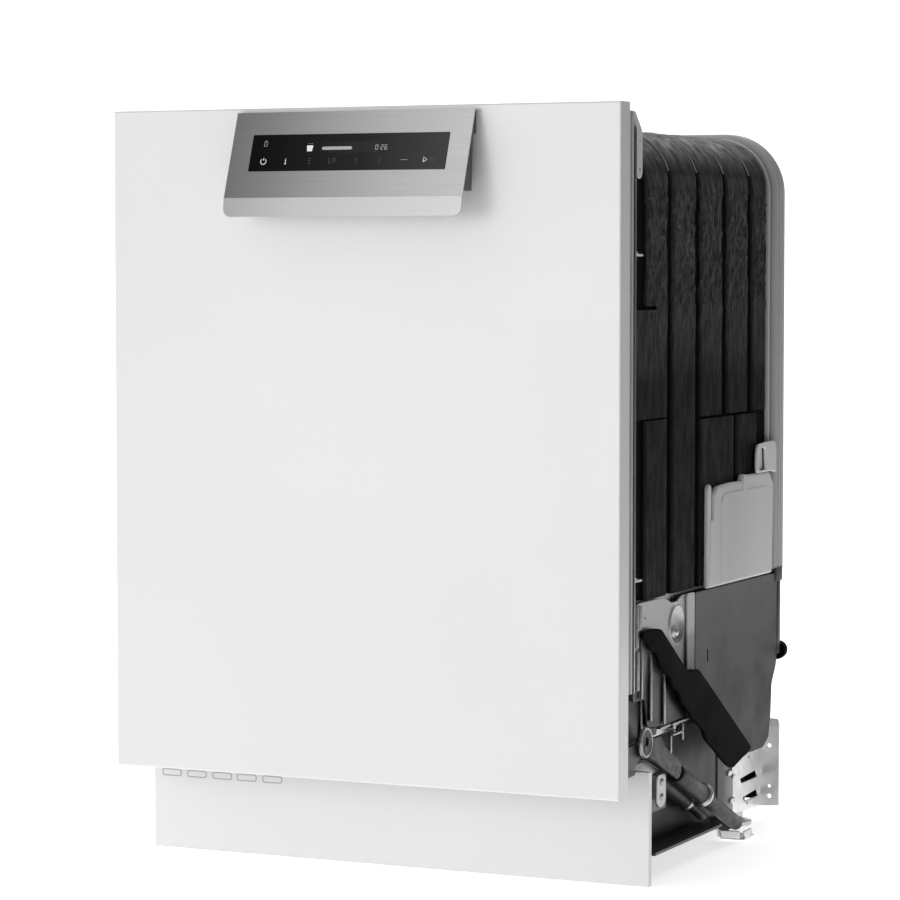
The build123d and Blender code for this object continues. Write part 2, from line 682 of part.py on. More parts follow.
CUTLERY_X, CUTLERY_Y = (70.0, 210.0), (RACK_FRONT + 18, RACK_FRONT + 98)
CUTLERY_Z = (LOWER_Z + WIRE + 0.4, LOWER_Z + 128)
with BuildPart() as cutlery_basket:
    block(CUTLERY_X, CUTLERY_Y, CUTLERY_Z)
    block(
        (CUTLERY_X[0] + 2.5, CUTLERY_X[1] - 2.5),
        (CUTLERY_Y[0] + 2.5, CUTLERY_Y[1] - 2.5),
        (CUTLERY_Z[0] + 2.5, CUTLERY_Z[1] + 1),
        mode=Mode.SUBTRACT,
    )
save(cutlery_basket.part, "cutlery_basket")

UPPER_TALL = 130.0
RAIL_Z = UPPER_Z + UPPER_TALL - 22.0
ROLLER_R = 9.0
ROLLER_YS = (DOOR_Y + 392.0, DOOR_Y + 466.0)
with BuildPart() as upper_rack:
    basket(UPPER_Z, UPPER_TALL, 11, 9)
save(upper_rack.part, "upper_rack")
with BuildPart() as upper_spray_hanger:
    rod((0, HUB_Y, UPPER_Z - 16), 5, 27.6)
    rod((0, HUB_Y, UPPER_Z - 31), 10, 2.6)
    rod((0, HUB_Y, UPPER_Z - 5), 12, 9.6)
save(upper_spray_hanger.part, "upper_spray_hanger")

with BuildPart() as upper_rail:
    block((RACK_HALF + 3, INSIDE - 0.2), (RACK_FRONT, RACK_REAR), (RAIL_Z - 12, RAIL_Z + 12))
    block(
        (RACK_HALF + 2, INSIDE - 2.2),
        (RACK_FRONT - 1, RACK_REAR + 1),
        (RAIL_Z - ROLLER_R - 0.4, RAIL_Z + ROLLER_R + 0.4),
        mode=Mode.SUBTRACT,
    )
save_twins(upper_rail.part, "upper_rails")
with BuildPart() as upper_roller:
    for y in ROLLER_YS:
        rod((RACK_HALF + 8, y, RAIL_Z), ROLLER_R, 9, "X")
        rod((RACK_HALF + 1.9, y, RAIL_Z), 2.5, 3.4, "X")
save_twins(upper_roller.part, "upper_rack_rollers")

# ---- machinery in the base ------------------------------------------------------------------------------
with BuildPart() as circulation_pump:
    rod((-150, DOOR_Y + 200, 76), 42, 110, "X")
    rod((-82, DOOR_Y + 200, 76), 34, 28, "X")
    rod((-214, DOOR_Y + 200, 76), 28, 20, "X")
save(circulation_pump.part, "circulation_pump")
with BuildPart() as drain_pump:
    rod((130, DOOR_Y + 200, 66), 28, 70, "X")
    rod((178, DOOR_Y + 200, 66), 20, 26, "X")
save(drain_pump.part, "drain_pump")
with BuildPart() as flow_heater:
    rod((-140, DOOR_Y + 370, 76), 34, 110, "X")
save(flow_heater.part, "flow_heater")

SPIGOT_X, SPIGOT_Z, SPIGOT_R = 262.0, 204.0, 10.0
INLET_X, INLET_Z, INLET_R = 200.0, 204.0, 13.2
REAR_TIP = DEPTH / 2
with BuildPart() as drain_spigot:
    rod((SPIGOT_X, TUB_REAR + 8, SPIGOT_Z), 17, 12, "Y")
    rod((SPIGOT_X, (TUB_REAR + 14 + REAR_TIP) / 2, SPIGOT_Z), SPIGOT_R, REAR_TIP - TUB_REAR - 14, "Y")
save(drain_spigot.part, "drain_spigot")
with BuildPart() as inlet_valve:
    block((INLET_X - 22, INLET_X + 22), (TUB_REAR + 4.2, TUB_REAR + 14), (SPIGOT_Z - 24, SPIGOT_Z + 24))
    rod((INLET_X, (TUB_REAR + 14 + REAR_TIP) / 2, INLET_Z), INLET_R, REAR_TIP - TUB_REAR - 14, "Y")
save(inlet_valve.part, "inlet_valve")
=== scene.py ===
"""Looks of the built-in dishwasher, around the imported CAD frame.

Metres, +X right, +Y back, +Z up.  Places come from the CAD boxes; sizes are named below.
"""

import json
import math

import bmesh
import bpy
from mathutils import Matrix, Vector, noise


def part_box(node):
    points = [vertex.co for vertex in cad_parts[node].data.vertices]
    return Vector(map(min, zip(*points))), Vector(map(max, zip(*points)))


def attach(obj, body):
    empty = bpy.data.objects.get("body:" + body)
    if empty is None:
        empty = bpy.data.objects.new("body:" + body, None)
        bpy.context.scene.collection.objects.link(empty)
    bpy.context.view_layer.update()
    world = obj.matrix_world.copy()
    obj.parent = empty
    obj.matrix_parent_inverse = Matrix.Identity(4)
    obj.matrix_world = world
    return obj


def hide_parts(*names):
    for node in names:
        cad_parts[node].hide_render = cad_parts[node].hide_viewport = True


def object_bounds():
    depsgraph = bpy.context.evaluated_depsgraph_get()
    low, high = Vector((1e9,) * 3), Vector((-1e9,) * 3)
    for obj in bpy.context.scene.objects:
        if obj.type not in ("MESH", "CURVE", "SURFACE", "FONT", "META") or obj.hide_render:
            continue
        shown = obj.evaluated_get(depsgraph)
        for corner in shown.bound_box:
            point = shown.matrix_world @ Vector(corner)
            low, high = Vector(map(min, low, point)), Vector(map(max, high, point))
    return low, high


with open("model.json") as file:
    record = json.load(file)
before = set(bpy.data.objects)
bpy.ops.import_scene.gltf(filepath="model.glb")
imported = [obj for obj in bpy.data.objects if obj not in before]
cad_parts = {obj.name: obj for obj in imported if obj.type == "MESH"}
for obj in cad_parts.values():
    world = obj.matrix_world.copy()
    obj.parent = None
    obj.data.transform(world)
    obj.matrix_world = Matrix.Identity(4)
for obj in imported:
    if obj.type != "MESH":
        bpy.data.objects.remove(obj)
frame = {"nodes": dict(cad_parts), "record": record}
CAD_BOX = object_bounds()
MM = 0.001

OUTWARD, BACKWARD, UPWARD = (1, 0, 0), (0, 1, 0), (0, 0, 1)

DOOR_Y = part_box("door_skin")[0][1]  # front face of the door
FLOOR_Z = CAD_BOX[0][2]


def fit_y(y):
    """Millimetres behind the door's face as a Y of the frame."""
    return DOOR_Y + y * MM


def fit_z(z):
    """Millimetres above the floor as a Z of the frame."""
    return FLOOR_Z + z * MM


# ---- camera ------------------------------------------------------------------------------
def add_camera():
    """A long lens, to the right of the door and a little below its top."""
    data = bpy.data.cameras.new("camera")
    data.sensor_width = 36.0
    data.lens = 133.66
    data.clip_end = 40.0
    camera = bpy.data.objects.new("camera", data)
    camera.location = (1.5738, DOOR_Y - 3.1632, 0.6615)
    camera.rotation_euler = (math.radians(90 - 3.303), 0, math.radians(24.888))
    bpy.context.collection.objects.link(camera)
    bpy.context.scene.camera = camera


add_camera()


# ---- materials ---------------------------------------------------------------------------
ALONG_X = (0.012, 1, 1)
ALONG_Z = (1, 1, 0.012)


class Shader:
    """A node material with one Principled BSDF and short calls for what feeds it."""

    def __init__(self, name, **sockets):
        self.material = bpy.data.materials.new(name)
        self.material.use_nodes = True
        self.tree = self.material.node_tree
        self.bsdf = self.tree.nodes["Principled BSDF"]
        for key, value in sockets.items():
            self.bsdf.inputs[key.replace("_", " ")].default_value = value
        self.place = self.tree.nodes.new("ShaderNodeTexCoord").outputs["Object"]

    def node(self, kind, **values):
        made = self.tree.nodes.new(kind)
        for key, value in values.items():
            setattr(made, key, value)
        return made

    def link(self, source, target):
        self.tree.links.new(source, target)

    def noise(self, scale, stretch=(1, 1, 1), detail=4.0, rough=0.55, kind="ShaderNodeTexNoise"):
        """Noise over the object's own coordinates, stretched where a finish has a direction."""
        mapping = self.node("ShaderNodeMapping")
        mapping.inputs["Scale"].default_value = stretch
        self.link(self.place, mapping.inputs["Vector"])
        made = self.node(kind)
        made.inputs["Scale"].default_value = scale
        if kind == "ShaderNodeTexNoise":
            made.inputs["Detail"].default_value = detail
            made.inputs["Roughness"].default_value = rough
        self.link(mapping.outputs[0], made.inputs["Vector"])
        return made.outputs[0] if kind == "ShaderNodeTexNoise" else made.outputs["Distance"]

    def ramp(self, source, low, high, start=0.3, end=0.7):
        """A colour ramp between two colours."""
        made = self.node("ShaderNodeValToRGB")
        made.color_ramp.elements[0].position = start
        made.color_ramp.elements[0].color = (*low, 1)
        made.color_ramp.elements[1].position = end
        made.color_ramp.elements[1].color = (*high, 1)
        self.link(source, made.inputs[0])
        return made.outputs[0]

    def spread(self, source, low, high, start=0.3, end=0.7):
        """Maps a noise onto a range of values."""
        made = self.node("ShaderNodeMapRange")
        made.inputs["From Min"].default_value = start
        made.inputs["From Max"].default_value = end
        made.inputs["To Min"].default_value = low
        made.inputs["To Max"].default_value = high
        self.link(source, made.inputs["Value"])
        return made.outputs[0]

    def colour(self, source):
        self.link(source, self.bsdf.inputs["Base Color"])

    def rough(self, source):
        self.link(source, self.bsdf.inputs["Roughness"])

    def bump(self, source, strength, distance):
        """Adds a bump on top of the ones already there."""
        made = self.node("ShaderNodeBump")
        made.inputs["Strength"].default_value = strength
        made.inputs["Distance"].default_value = distance
        self.link(source, made.inputs["Height"])
        before = self.bsdf.inputs["Normal"].links
        if before:
            self.link(before[0].from_socket, made.inputs["Normal"])
        self.link(made.outputs[0], self.bsdf.inputs["Normal"])


def tint(colour, factor):
    """A lighter or darker colour."""
    return tuple(min(c * factor, 1.0) for c in colour)


def painted(name, colour, rough=0.34, peel=0.05):
    """Sprayed enamel: orange peel, faint cloudiness."""
    s = Shader(name, Coat_Weight=0.25, Coat_Roughness=0.12)
    cloud = s.noise(3.5, detail=2)
    s.colour(s.ramp(cloud, tint(colour, 0.985), tint(colour, 1.01)))
    s.rough(s.spread(s.noise(9, detail=3), rough - 0.03, rough + 0.05))
    s.bump(s.noise(520, detail=1), peel, 0.0004)
    return s.material


def brushed(name, colour, stretch, rough=0.3, contrast=0.07, metallic=1.0):
    """Sheet steel ground in one direction, the direction in which stretch is small."""
    s = Shader(name, Metallic=metallic)
    lines = s.noise(900, stretch, detail=6, rough=0.7)
    broad = s.noise(6, stretch=(1, 1, 1), detail=2)
    s.colour(s.ramp(lines, tint(colour, 1 - contrast), tint(colour, 1 + contrast), 0.25, 0.75))
    mixed = s.node("ShaderNodeMath", operation="MULTIPLY_ADD")
    s.link(lines, mixed.inputs[0])
    mixed.inputs[1].default_value = 0.5
    s.link(s.spread(broad, 0.0, 0.5), mixed.inputs[2])
    s.rough(s.spread(mixed.outputs[0], rough - 0.06, rough + 0.12, 0.2, 0.9))
    s.bump(lines, 0.06, 0.0002)
    return s.material


def spangled(name, colour, rough=0.38, metallic=0.9):
    """Zinc-coated sheet: pale crystal patches and a little dullness."""
    s = Shader(name, Metallic=metallic)
    patches = s.noise(110, kind="ShaderNodeTexVoronoi")
    fine = s.noise(60, detail=6)
    s.colour(s.ramp(fine, tint(colour, 0.86), tint(colour, 1.06)))
    s.rough(s.spread(patches, rough - 0.08, rough + 0.1, 0.0, 0.8))
    s.bump(fine, 0.05, 0.0005)
    return s.material


def moulded(name, colour, rough=0.5, grain=0.12, **sockets):
    """Moulded plastic or rubber: fine spark-eroded grain, slightly uneven gloss."""
    s = Shader(name, **sockets)
    s.colour(s.ramp(s.noise(14, detail=3), tint(colour, 0.9), tint(colour, 1.12)))
    s.rough(s.spread(s.noise(22, detail=4), rough - 0.06, rough + 0.09))
    s.bump(s.noise(950, detail=2), grain, 0.0003)
    return s.material


def bitumen():
    """Tar-based damping mat: near black, with long wet-looking wrinkles and a fine grain."""
    s = Shader("bitumen")
    parts = s.node("ShaderNodeSeparateXYZ")
    s.link(s.place, parts.inputs[0])
    rising = s.spread(parts.outputs["Z"], 0.0, 1.0, FLOOR_Z + 0.53, FLOOR_Z + 0.67)
    deep = s.node("ShaderNodeMath", operation="MULTIPLY")
    s.link(rising, deep.inputs[0])
    s.link(s.spread(parts.outputs["Z"], 1.0, 0.0, FLOOR_Z + 0.722, FLOOR_Z + 0.752), deep.inputs[1])
    s.link(s.spread(deep.outputs[0], 0.05, 0.6, 0.0, 1.0), s.bsdf.inputs["Specular IOR Level"])
    centred = s.node("ShaderNodeMath", operation="SUBTRACT")
    s.link(s.noise(105, stretch=(1.0, 1.0, 0.36), detail=5, rough=0.6), centred.inputs[0])
    centred.inputs[1].default_value = 0.5
    ridges = s.node("ShaderNodeMath", operation="MULTIPLY")
    s.link(centred.outputs[0], ridges.inputs[0])
    s.link(deep.outputs[0], ridges.inputs[1])
    wrinkles = s.noise(75, stretch=(1.0, 1.0, 0.4), detail=6, rough=0.62)
    grain = s.noise(480, detail=3)
    s.colour(s.ramp(wrinkles, (0.005, 0.005, 0.005), (0.014, 0.014, 0.014), 0.3, 0.75))
    s.rough(s.spread(wrinkles, 0.62, 0.32, 0.35, 0.7))
    s.bump(wrinkles, 0.35, 0.003)
    s.bump(grain, 0.25, 0.0006)
    s.bump(ridges.outputs[0], 1.0, 0.010)
    return s.material


def satin_sheet(name, low, high):
    """Dark lacquered sheet with a soft sheen that changes over it."""
    s = Shader(name, Metallic=0.55)
    s.colour(s.ramp(s.noise(4, detail=2), (low, low, low), (high, high, high)))
    s.rough(s.spread(s.noise(30, detail=4), 0.36, 0.46))
    s.bump(s.noise(700, detail=2), 0.06, 0.0003)
    return s.material


def felt():
    """Matted fibres."""
    s = Shader("felt", Roughness=0.95, Sheen_Weight=0.3)
    fibres = s.noise(340, stretch=(1, 0.3, 1), detail=8, rough=0.8)
    s.colour(s.ramp(fibres, (0.20, 0.19, 0.17), (0.42, 0.40, 0.37)))
    s.bump(fibres, 0.8, 0.002)
    return s.material


def across(s, stops, wobble=0.0, axis="X"):
    """Grey that changes along an axis, used for painted light and shade, from (place in metres, grey)
    stops, with a little noise.
    """
    parts = s.node("ShaderNodeSeparateXYZ")
    s.link(s.place, parts.inputs[0])
    low, high = stops[0][0], stops[-1][0]
    spread = s.spread(parts.outputs[axis], 0.0, 1.0, low, high)
    mixed = s.node("ShaderNodeMath", operation="MULTIPLY_ADD")
    s.link(s.noise(7, detail=2), mixed.inputs[0])
    mixed.inputs[1].default_value = wobble
    s.link(spread, mixed.inputs[2])
    ramp = s.node("ShaderNodeValToRGB")
    while len(ramp.color_ramp.elements) < len(stops):
        ramp.color_ramp.elements.new(0.5)
    for element, (x, grey) in zip(ramp.color_ramp.elements, stops):
        element.position = (x - low) / (high - low)
        element.color = (grey, grey, grey, 1)
    s.link(mixed.outputs[0], ramp.inputs[0])
    return ramp.outputs[0]


def axis_grey(name, axis, stops, rough=0.4, metallic=0.55, wobble=0.05, shine=0.5):
    """Satin sheet whose grey, painted light and shade, changes along an axis: X in metres, Y and Z in
    mm of the fit frame.
    """
    s = Shader(name, Metallic=metallic, Specular_IOR_Level=shine)
    to_metres = {"X": float, "Y": fit_y, "Z": fit_z}[axis]
    s.colour(across(s, [(to_metres(spot), grey) for spot, grey in stops], wobble, axis))
    s.rough(s.spread(s.noise(30, detail=4), rough - 0.05, rough + 0.06))
    s.bump(s.noise(700, detail=2), 0.06, 0.0003)
    return s.material


def reflection_painted_glass():
    """Smoked glass whose grey is painted lighter towards the right, a painted reflection."""
    s = Shader("black_glass", Specular_IOR_Level=0.06)
    s.colour(across(s, ((-0.115, 0.002), (-0.08, 0.005), (0.02, 0.022), (0.115, 0.062)), 0.02))
    s.rough(s.spread(s.noise(16, stretch=(1, 1, 2.5), detail=5), 0.16, 0.26))
    s.bump(s.noise(8, detail=1), 0.02, 0.0004)
    return s.material


def fascia_steel():
    """Fine horizontal brushing; its grey is painted dark at the left end and light at the right, a
    painted sheen, flatter on the lower lip.
    """
    s = Shader("fascia_steel", Metallic=1.0)
    lines = s.noise(900, ALONG_X, detail=6, rough=0.7)
    # painted sheen on the face: dark at the left end, light at the right
    run = across(s, ((-0.139, 0.20), (-0.085, 0.28), (-0.02, 0.42), (0.05, 0.56), (0.139, 0.70)), 0.04)
    height = s.node("ShaderNodeSeparateXYZ")
    s.link(s.place, height.inputs[0])
    lip = s.spread(height.outputs["Z"], 0.0, 1.0, FLOOR_Z + 0.7236, FLOOR_Z + 0.7246)
    blend = s.node("ShaderNodeMix", data_type="RGBA")
    s.link(lip, blend.inputs["Factor"])
    # a flatter painted sheen of its own for the lower lip
    low = across(s, ((-0.139, 0.26), (-0.05, 0.33), (0.03, 0.34), (0.139, 0.36)), 0.03)
    s.link(low, blend.inputs[6])
    s.link(run, blend.inputs[7])
    scratch = s.ramp(lines, (0.90, 0.90, 0.90), (1.08, 1.08, 1.08), 0.25, 0.75)
    mix = s.node("ShaderNodeVectorMath", operation="MULTIPLY")
    s.link(blend.outputs[2], mix.inputs[0])
    s.link(scratch, mix.inputs[1])
    s.colour(mix.outputs[0])
    s.rough(s.spread(lines, 0.26, 0.40, 0.2, 0.9))
    s.bump(lines, 0.06, 0.0002)
    return s.material


def circuit():
    """Solder mask with copper traces under it."""
    s = Shader("circuit_board", Roughness=0.35)
    traces = s.noise(160, kind="ShaderNodeTexVoronoi")
    s.colour(s.ramp(traces, (0.012, 0.085, 0.035), (0.03, 0.18, 0.07), 0.1, 0.4))
    s.bump(traces, 0.2, 0.0005)
    return s.material


MATERIALS = {
    "white_enamel": painted("white_enamel", (0.80, 0.80, 0.80)),
    "brushed_stainless": brushed("brushed_stainless", (0.46, 0.46, 0.465), ALONG_X, 0.30),
    "tub_stainless": brushed("tub_stainless", (0.56, 0.565, 0.57), ALONG_Z, 0.26),
    "galvanised": spangled("galvanised", (0.56, 0.565, 0.57)),
    "bitumen": bitumen(),
    "black_plastic": moulded("black_plastic", (0.004, 0.004, 0.004), 0.66, Specular_IOR_Level=0.03),
    "dark_grey_plastic": moulded("dark_grey_plastic", (0.075, 0.077, 0.08), 0.42),
    "light_grey_plastic": moulded("light_grey_plastic", (0.52, 0.53, 0.54), 0.4, 0.08),
    "side_sheet": satin_sheet("side_sheet", 0.085, 0.125),
    "dark_sheet": satin_sheet("dark_sheet", 0.05, 0.075),
    "dark_base": satin_sheet("dark_base", 0.07, 0.09),
    "bright_sheet": spangled("bright_sheet", (0.86, 0.86, 0.865), 0.34),
    "tank": moulded("tank", (0.62, 0.62, 0.62), 0.34, 0.05, Subsurface_Weight=0.15),
    "fascia_steel": fascia_steel(),
    "seal_rubber": moulded("seal_rubber", (0.03, 0.03, 0.032), 0.62, 0.2),
    "black_glass": reflection_painted_glass(),
    "coated_wire": painted("coated_wire", (0.42, 0.43, 0.45), 0.3, 0.1),
    "machined_steel": spangled("machined_steel", (0.62, 0.62, 0.63), 0.3, 1.0),
    "motor_metal": spangled("motor_metal", (0.42, 0.42, 0.43), 0.45, 1.0),
    "felt": felt(),
    "circuit_board": circuit(),
}


# painted shade on the base side sheets: darkest at the front, lighter towards the rear
BASE_PAINTED_SHADE = axis_grey(
    "base_sheet", "Y", (
        (124, 0.03), (300, 0.04), (380, 0.05), (425, 0.12), (449, 0.32)
    ), 0.42, 0.25, 0.05, 0.15
)
# painted shade on the hinge plates: nearly black low down, light grey near the top
PLATE_PAINTED_SHADE = axis_grey(
    "plate_sheet", "Z", ((150, 0.012), (215, 0.035), (252, 0.24), (264, 0.45), (296, 0.56)), 0.36, 0.75
)
# painted shade on the side shields: nearly black at the bottom, lighter towards the top
SHIELD_PAINTED_SHADE = axis_grey(
    "shield_sheet", "Z", ((100, 0.01), (180, 0.03), (235, 0.065), (296, 0.135)), 0.42, 0.38, 0.05, 0.15
)
# painted sheen on the hinge bracket arms: darker at the front, lightest about 128 mm back
BRACKET_PAINTED_SHEEN = axis_grey(
    "bracket_steel", "Y", ((50, 0.16), (100, 0.22), (128, 0.50), (160, 0.40)), 0.34, 0.85
)
SPRING_STEEL = spangled("spring_steel", (0.035, 0.035, 0.036), 0.42, 0.35)
BRIGHT_STEEL = spangled("bright_steel", (0.62, 0.62, 0.62), 0.26, 1.0)
FOLD_STEEL = spangled("fold_steel", (0.34, 0.34, 0.34), 0.3, 0.95)
PALE_SHEET = painted("pale_sheet", (0.70, 0.70, 0.70), 0.4)

DRESSED = {  # CAD nodes whose material isn't the one of their slot
    "control_fascia": "fascia_steel",
    "rear_legs": "bright_sheet",
    "front_frame": "dark_sheet",
    "base_tray": "dark_base",
    "foot_rear_right": "bright_sheet",
    "hinge_brackets": "side_sheet",
    "hinge_levers": "dark_sheet",
    "water_reservoir": "tank",
}


def dress_frame():
    """Gives every carried-over CAD node its material."""
    for part in frame["record"]["subparts"]:
        node = frame["nodes"][part["node"]]
        node.data.materials.clear()
        node.data.materials.append(MATERIALS[DRESSED.get(part["node"], part["material_slot"])])


dress_frame()


# ---- building helpers --------------------------------------------------------------------
def place(points):
    """Turns (mm behind the door face, mm above the floor) into the frame's (y, z)."""
    return [(DOOR_Y + y * MM, FLOOR_Z + z * MM) for y, z in points]


def soften(points, radius, steps=5, closed=True):
    """Rounds the corners of a polyline (2-D or 3-D) with quadratic arcs of about that radius."""
    points = [Vector(p) for p in points]
    last = len(points) - 1
    out = []
    for i, point in enumerate(points):
        if not closed and i in (0, last):
            out.append(point)
            continue
        before, after = points[i - 1] - point, points[(i + 1) % len(points)] - point
        reach = min(radius, before.length * 0.45, after.length * 0.45)
        start, end = point + before.normalized() * reach, point + after.normalized() * reach
        for k in range(steps + 1):
            t = k / steps
            out.append(start * (1 - t) ** 2 + point * (2 * t * (1 - t)) + end * t * t)
    return out


def circle(centre, radius, count):
    """A closed round outline."""
    turns = [2 * math.pi * k / count for k in range(count)]
    return [(centre[0] + radius * math.cos(a), centre[1] + radius * math.sin(a)) for a in turns]


def finish_piece(
    shape, name, slot, body="cabinet", replaces=None, material=None, both_sides=False, smooth=True,
    sharp=35,
):
    """Makes a piece that rides on a body from a mesh or from a function that fills a bmesh.

    The material is the slot's own unless one is given; replaces names the CAD node it stands for.
    """
    mesh = bm_mesh(shape) if callable(shape) else shape
    if both_sides:
        mirrored(mesh)
    obj = bpy.data.objects.new(name, mesh)
    bpy.context.collection.objects.link(obj)
    mesh.materials.clear()
    mesh.materials.append(material or MATERIALS[slot])
    for face in mesh.polygons:
        face.use_smooth = smooth
    if smooth:
        mesh.set_sharp_from_angle(angle=math.radians(sharp))
    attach(obj, body)
    if replaces:
        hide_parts(replaces)
    return obj


def finish_pair(shape, name, slot, **options):
    """Finishes a right-hand shape together with its mirror image, as one piece."""
    return finish_piece(shape, name, slot, both_sides=True, **options)


def curve_mesh(curve):
    """The mesh of a curve datablock, which is then removed."""
    temp = bpy.data.objects.new("temp", curve)
    bpy.context.collection.objects.link(temp)
    bpy.context.view_layer.update()
    mesh = bpy.data.meshes.new_from_object(temp.evaluated_get(bpy.context.evaluated_depsgraph_get()))
    bpy.data.objects.remove(temp)
    bpy.data.curves.remove(curve)
    return mesh


def outline_mesh(loops, thick, bevel=0.0):
    """A flat plate from 2-D loops (inner loops are holes), centred on z = 0, with eased edges."""
    curve = bpy.data.curves.new("outline", "CURVE")
    curve.dimensions = "2D"
    curve.fill_mode = "BOTH"
    curve.extrude = thick / 2 - bevel
    curve.bevel_depth = bevel
    curve.bevel_resolution = 2
    curve.offset = -bevel
    for loop in loops:
        spline = curve.splines.new("POLY")
        spline.points.add(len(loop) - 1)
        for point, xy in zip(spline.points, loop):
            point.co = (xy[0], xy[1], 0, 1)
        spline.use_cyclic_u = True
    return curve_mesh(curve)


# turns local x, y, z into Y, Z, X
SIDE_PLANE = Matrix(((0, 0, 1, 0), (1, 0, 0, 0), (0, 1, 0, 0), (0, 0, 0, 1)))


def side_plate(loops, x, thick, bevel):
    """A plate in the YZ plane whose inner face is at x; loops are already in metres."""
    mesh = outline_mesh(loops, thick, bevel)
    mesh.transform(Matrix.Translation((x + thick / 2, 0, 0)) @ SIDE_PLANE)
    return mesh


def wire_mesh(paths, radius, closed=False, sides=2):
    """Round wires along 3-D polylines."""
    curve = bpy.data.curves.new("wire", "CURVE")
    curve.dimensions = "3D"
    curve.bevel_depth = radius
    curve.bevel_resolution = sides
    curve.use_fill_caps = True
    for path in paths:
        spline = curve.splines.new("POLY")
        spline.points.add(len(path) - 1)
        for point, co in zip(spline.points, path):
            point.co = (*co, 1)
        spline.use_cyclic_u = closed
    return curve_mesh(curve)


def sheet(edge, radius, x, thick, bevel, holes=(), steps=5):
    """A side plate from (y, z) corners rounded by radius; x and the holes in metres, the rest in mm."""
    loops = [soften(place(edge), radius * MM, steps), *holes]
    return side_plate(loops, x, thick * MM, bevel * MM)


def box_bm(bm, low, high, bevel=0.0, segments=2):
    """Adds an eased box to a bmesh."""
    made = bmesh.ops.create_cube(bm, size=1.0)["verts"]
    size = [h - l for l, h in zip(low, high)]
    middle = [(h + l) / 2 for l, h in zip(low, high)]
    for vert in made:
        vert.co = Vector([m + c * s for m, c, s in zip(middle, vert.co, size)])
    if bevel:
        edges = list({edge for vert in made for edge in vert.link_edges})
        bmesh.ops.bevel(bm, geom=edges, offset=bevel, segments=segments, profile=0.6, affect="EDGES")


def lathe_bm(bm, profile, origin, axis, count=40):
    """Turns (radius, distance along axis) points about an axis through origin."""
    axis = Vector(axis).normalized()
    side = axis.orthogonal().normalized()
    other = axis.cross(side)
    rings = []
    for radius, along in profile:
        centre = Vector(origin) + axis * along
        if radius < 1e-6:
            rings.append([bm.verts.new(centre)])
            continue
        turns = [2 * math.pi * k / count for k in range(count)]
        rings.append(
            [bm.verts.new(centre + (side * math.cos(a) + other * math.sin(a)) * radius) for a in turns]
        )
    for one, two in zip(rings, rings[1:]):
        for k in range(count):
            following = (k + 1) % count
            corners = [
                one[k % len(one)],
                one[following % len(one)],
                two[following % len(two)],
                two[k % len(two)],
            ]
            unique = list(dict.fromkeys(corners))
            if len(unique) > 2:
                bm.faces.new(unique)


def turned(bm, profile, origin, axis, count=40):
    """A lathe piece from a profile in millimetres."""
    lathe_bm(bm, [(radius * MM, along * MM) for radius, along in profile], origin, axis, count)


def fit_box(bm, x, y, z, bevel, segments=2):
    """An eased box from its extents: x in metres; y, z and bevel in millimetres of the fit frame."""
    low, high = (x[0], fit_y(y[0]), fit_z(z[0])), (x[1], fit_y(y[1]), fit_z(z[1]))
    box_bm(bm, low, high, bevel * MM, segments)


def skin_rows(bm, rows, closed=False):
    """Faces between neighbouring rows of vertices, which may be closed rings."""
    for one, two in zip(rows, rows[1:]):
        quads = list(zip(one, one[1:], two[1:], two))
        if closed:
            quads.append((one[-1], one[0], two[0], two[-1]))
        for corners in quads:
            bm.faces.new(corners)


def mirrored(mesh):
    """Adds the mesh's mirror image in x = 0 to it."""
    bm = bmesh.new()
    bm.from_mesh(mesh)
    copy = bmesh.ops.duplicate(bm, geom=bm.verts[:] + bm.edges[:] + bm.faces[:])["geom"]
    for vert in [g for g in copy if isinstance(g, bmesh.types.BMVert)]:
        vert.co.x = -vert.co.x
    bmesh.ops.reverse_faces(bm, faces=[g for g in copy if isinstance(g, bmesh.types.BMFace)])
    bm.to_mesh(mesh)
    bm.free()
    return mesh


def joined(*meshes):
    """One mesh from several."""
    bm = bmesh.new()
    for mesh in meshes:
        bm.from_mesh(mesh)
    out = bpy.data.meshes.new("joined")
    bm.to_mesh(out)
    bm.free()
    return out


def bm_mesh(build):
    """Runs build(bm) on a fresh bmesh and returns its mesh, with outward normals."""
    bm = bmesh.new()
    build(bm)
    bmesh.ops.recalc_face_normals(bm, faces=bm.faces[:])
    mesh = bpy.data.meshes.new("built")
    bm.to_mesh(mesh)
    bm.free()
    return mesh


def ease(t):
    """0 to 1 with a level start and end."""
    t = min(max(t, 0.0), 1.0)
    return t * t * (3 - 2 * t)


# ---- damping mats ------------------------------------------------------------------------
TUB_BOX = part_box("tub_wrapper")
TUB_HALF = TUB_BOX[1][0]
TUB_TOP = TUB_BOX[1][2]
CORNER_R = 58 * MM
FLAT_TOP = TUB_TOP - CORNER_R  # where the tub's flat side ends
MAT_SPLIT = FLOOR_Z + 610 * MM  # where the arches end and the flat patches begin
ARCH_HALF = FLAT_TOP - MAT_SPLIT + CORNER_R * math.pi / 2 + TUB_HALF - CORNER_R  # half an arch's length

MAT_THICK = 4.4 * MM
MAT_FOOT = 0.2 * MM  # how far a mat's outermost edge stands off the sheet
MAT_EDGE_DROP = 1.3 * MM
MAT_EDGE_WIDTH = 5 * MM
MAT_STEPS, MAT_BINS = 240, 22  # stations along half an arch and across one
CRINKLE_DEPTH = 1.5 * MM
MAT_BANDS = ((102, 178), (178, 262), (262, 346), (346, 429), (429, 490))  # y from, y to, in mm
LOWER_PATCHES = (  # y from, y to, z from, z to, in mm
    (73, 171, 491, 606), (104, 171, 300, 489), (139, 171, 606, 610),
    (184, 256, 300, 610), (269, 339.5, 487, 610), (269, 380, 300, 484),
    (352.5, 422.5, 487, 610), (435.5, 484, 487, 610), (386, 455, 300, 484),
)


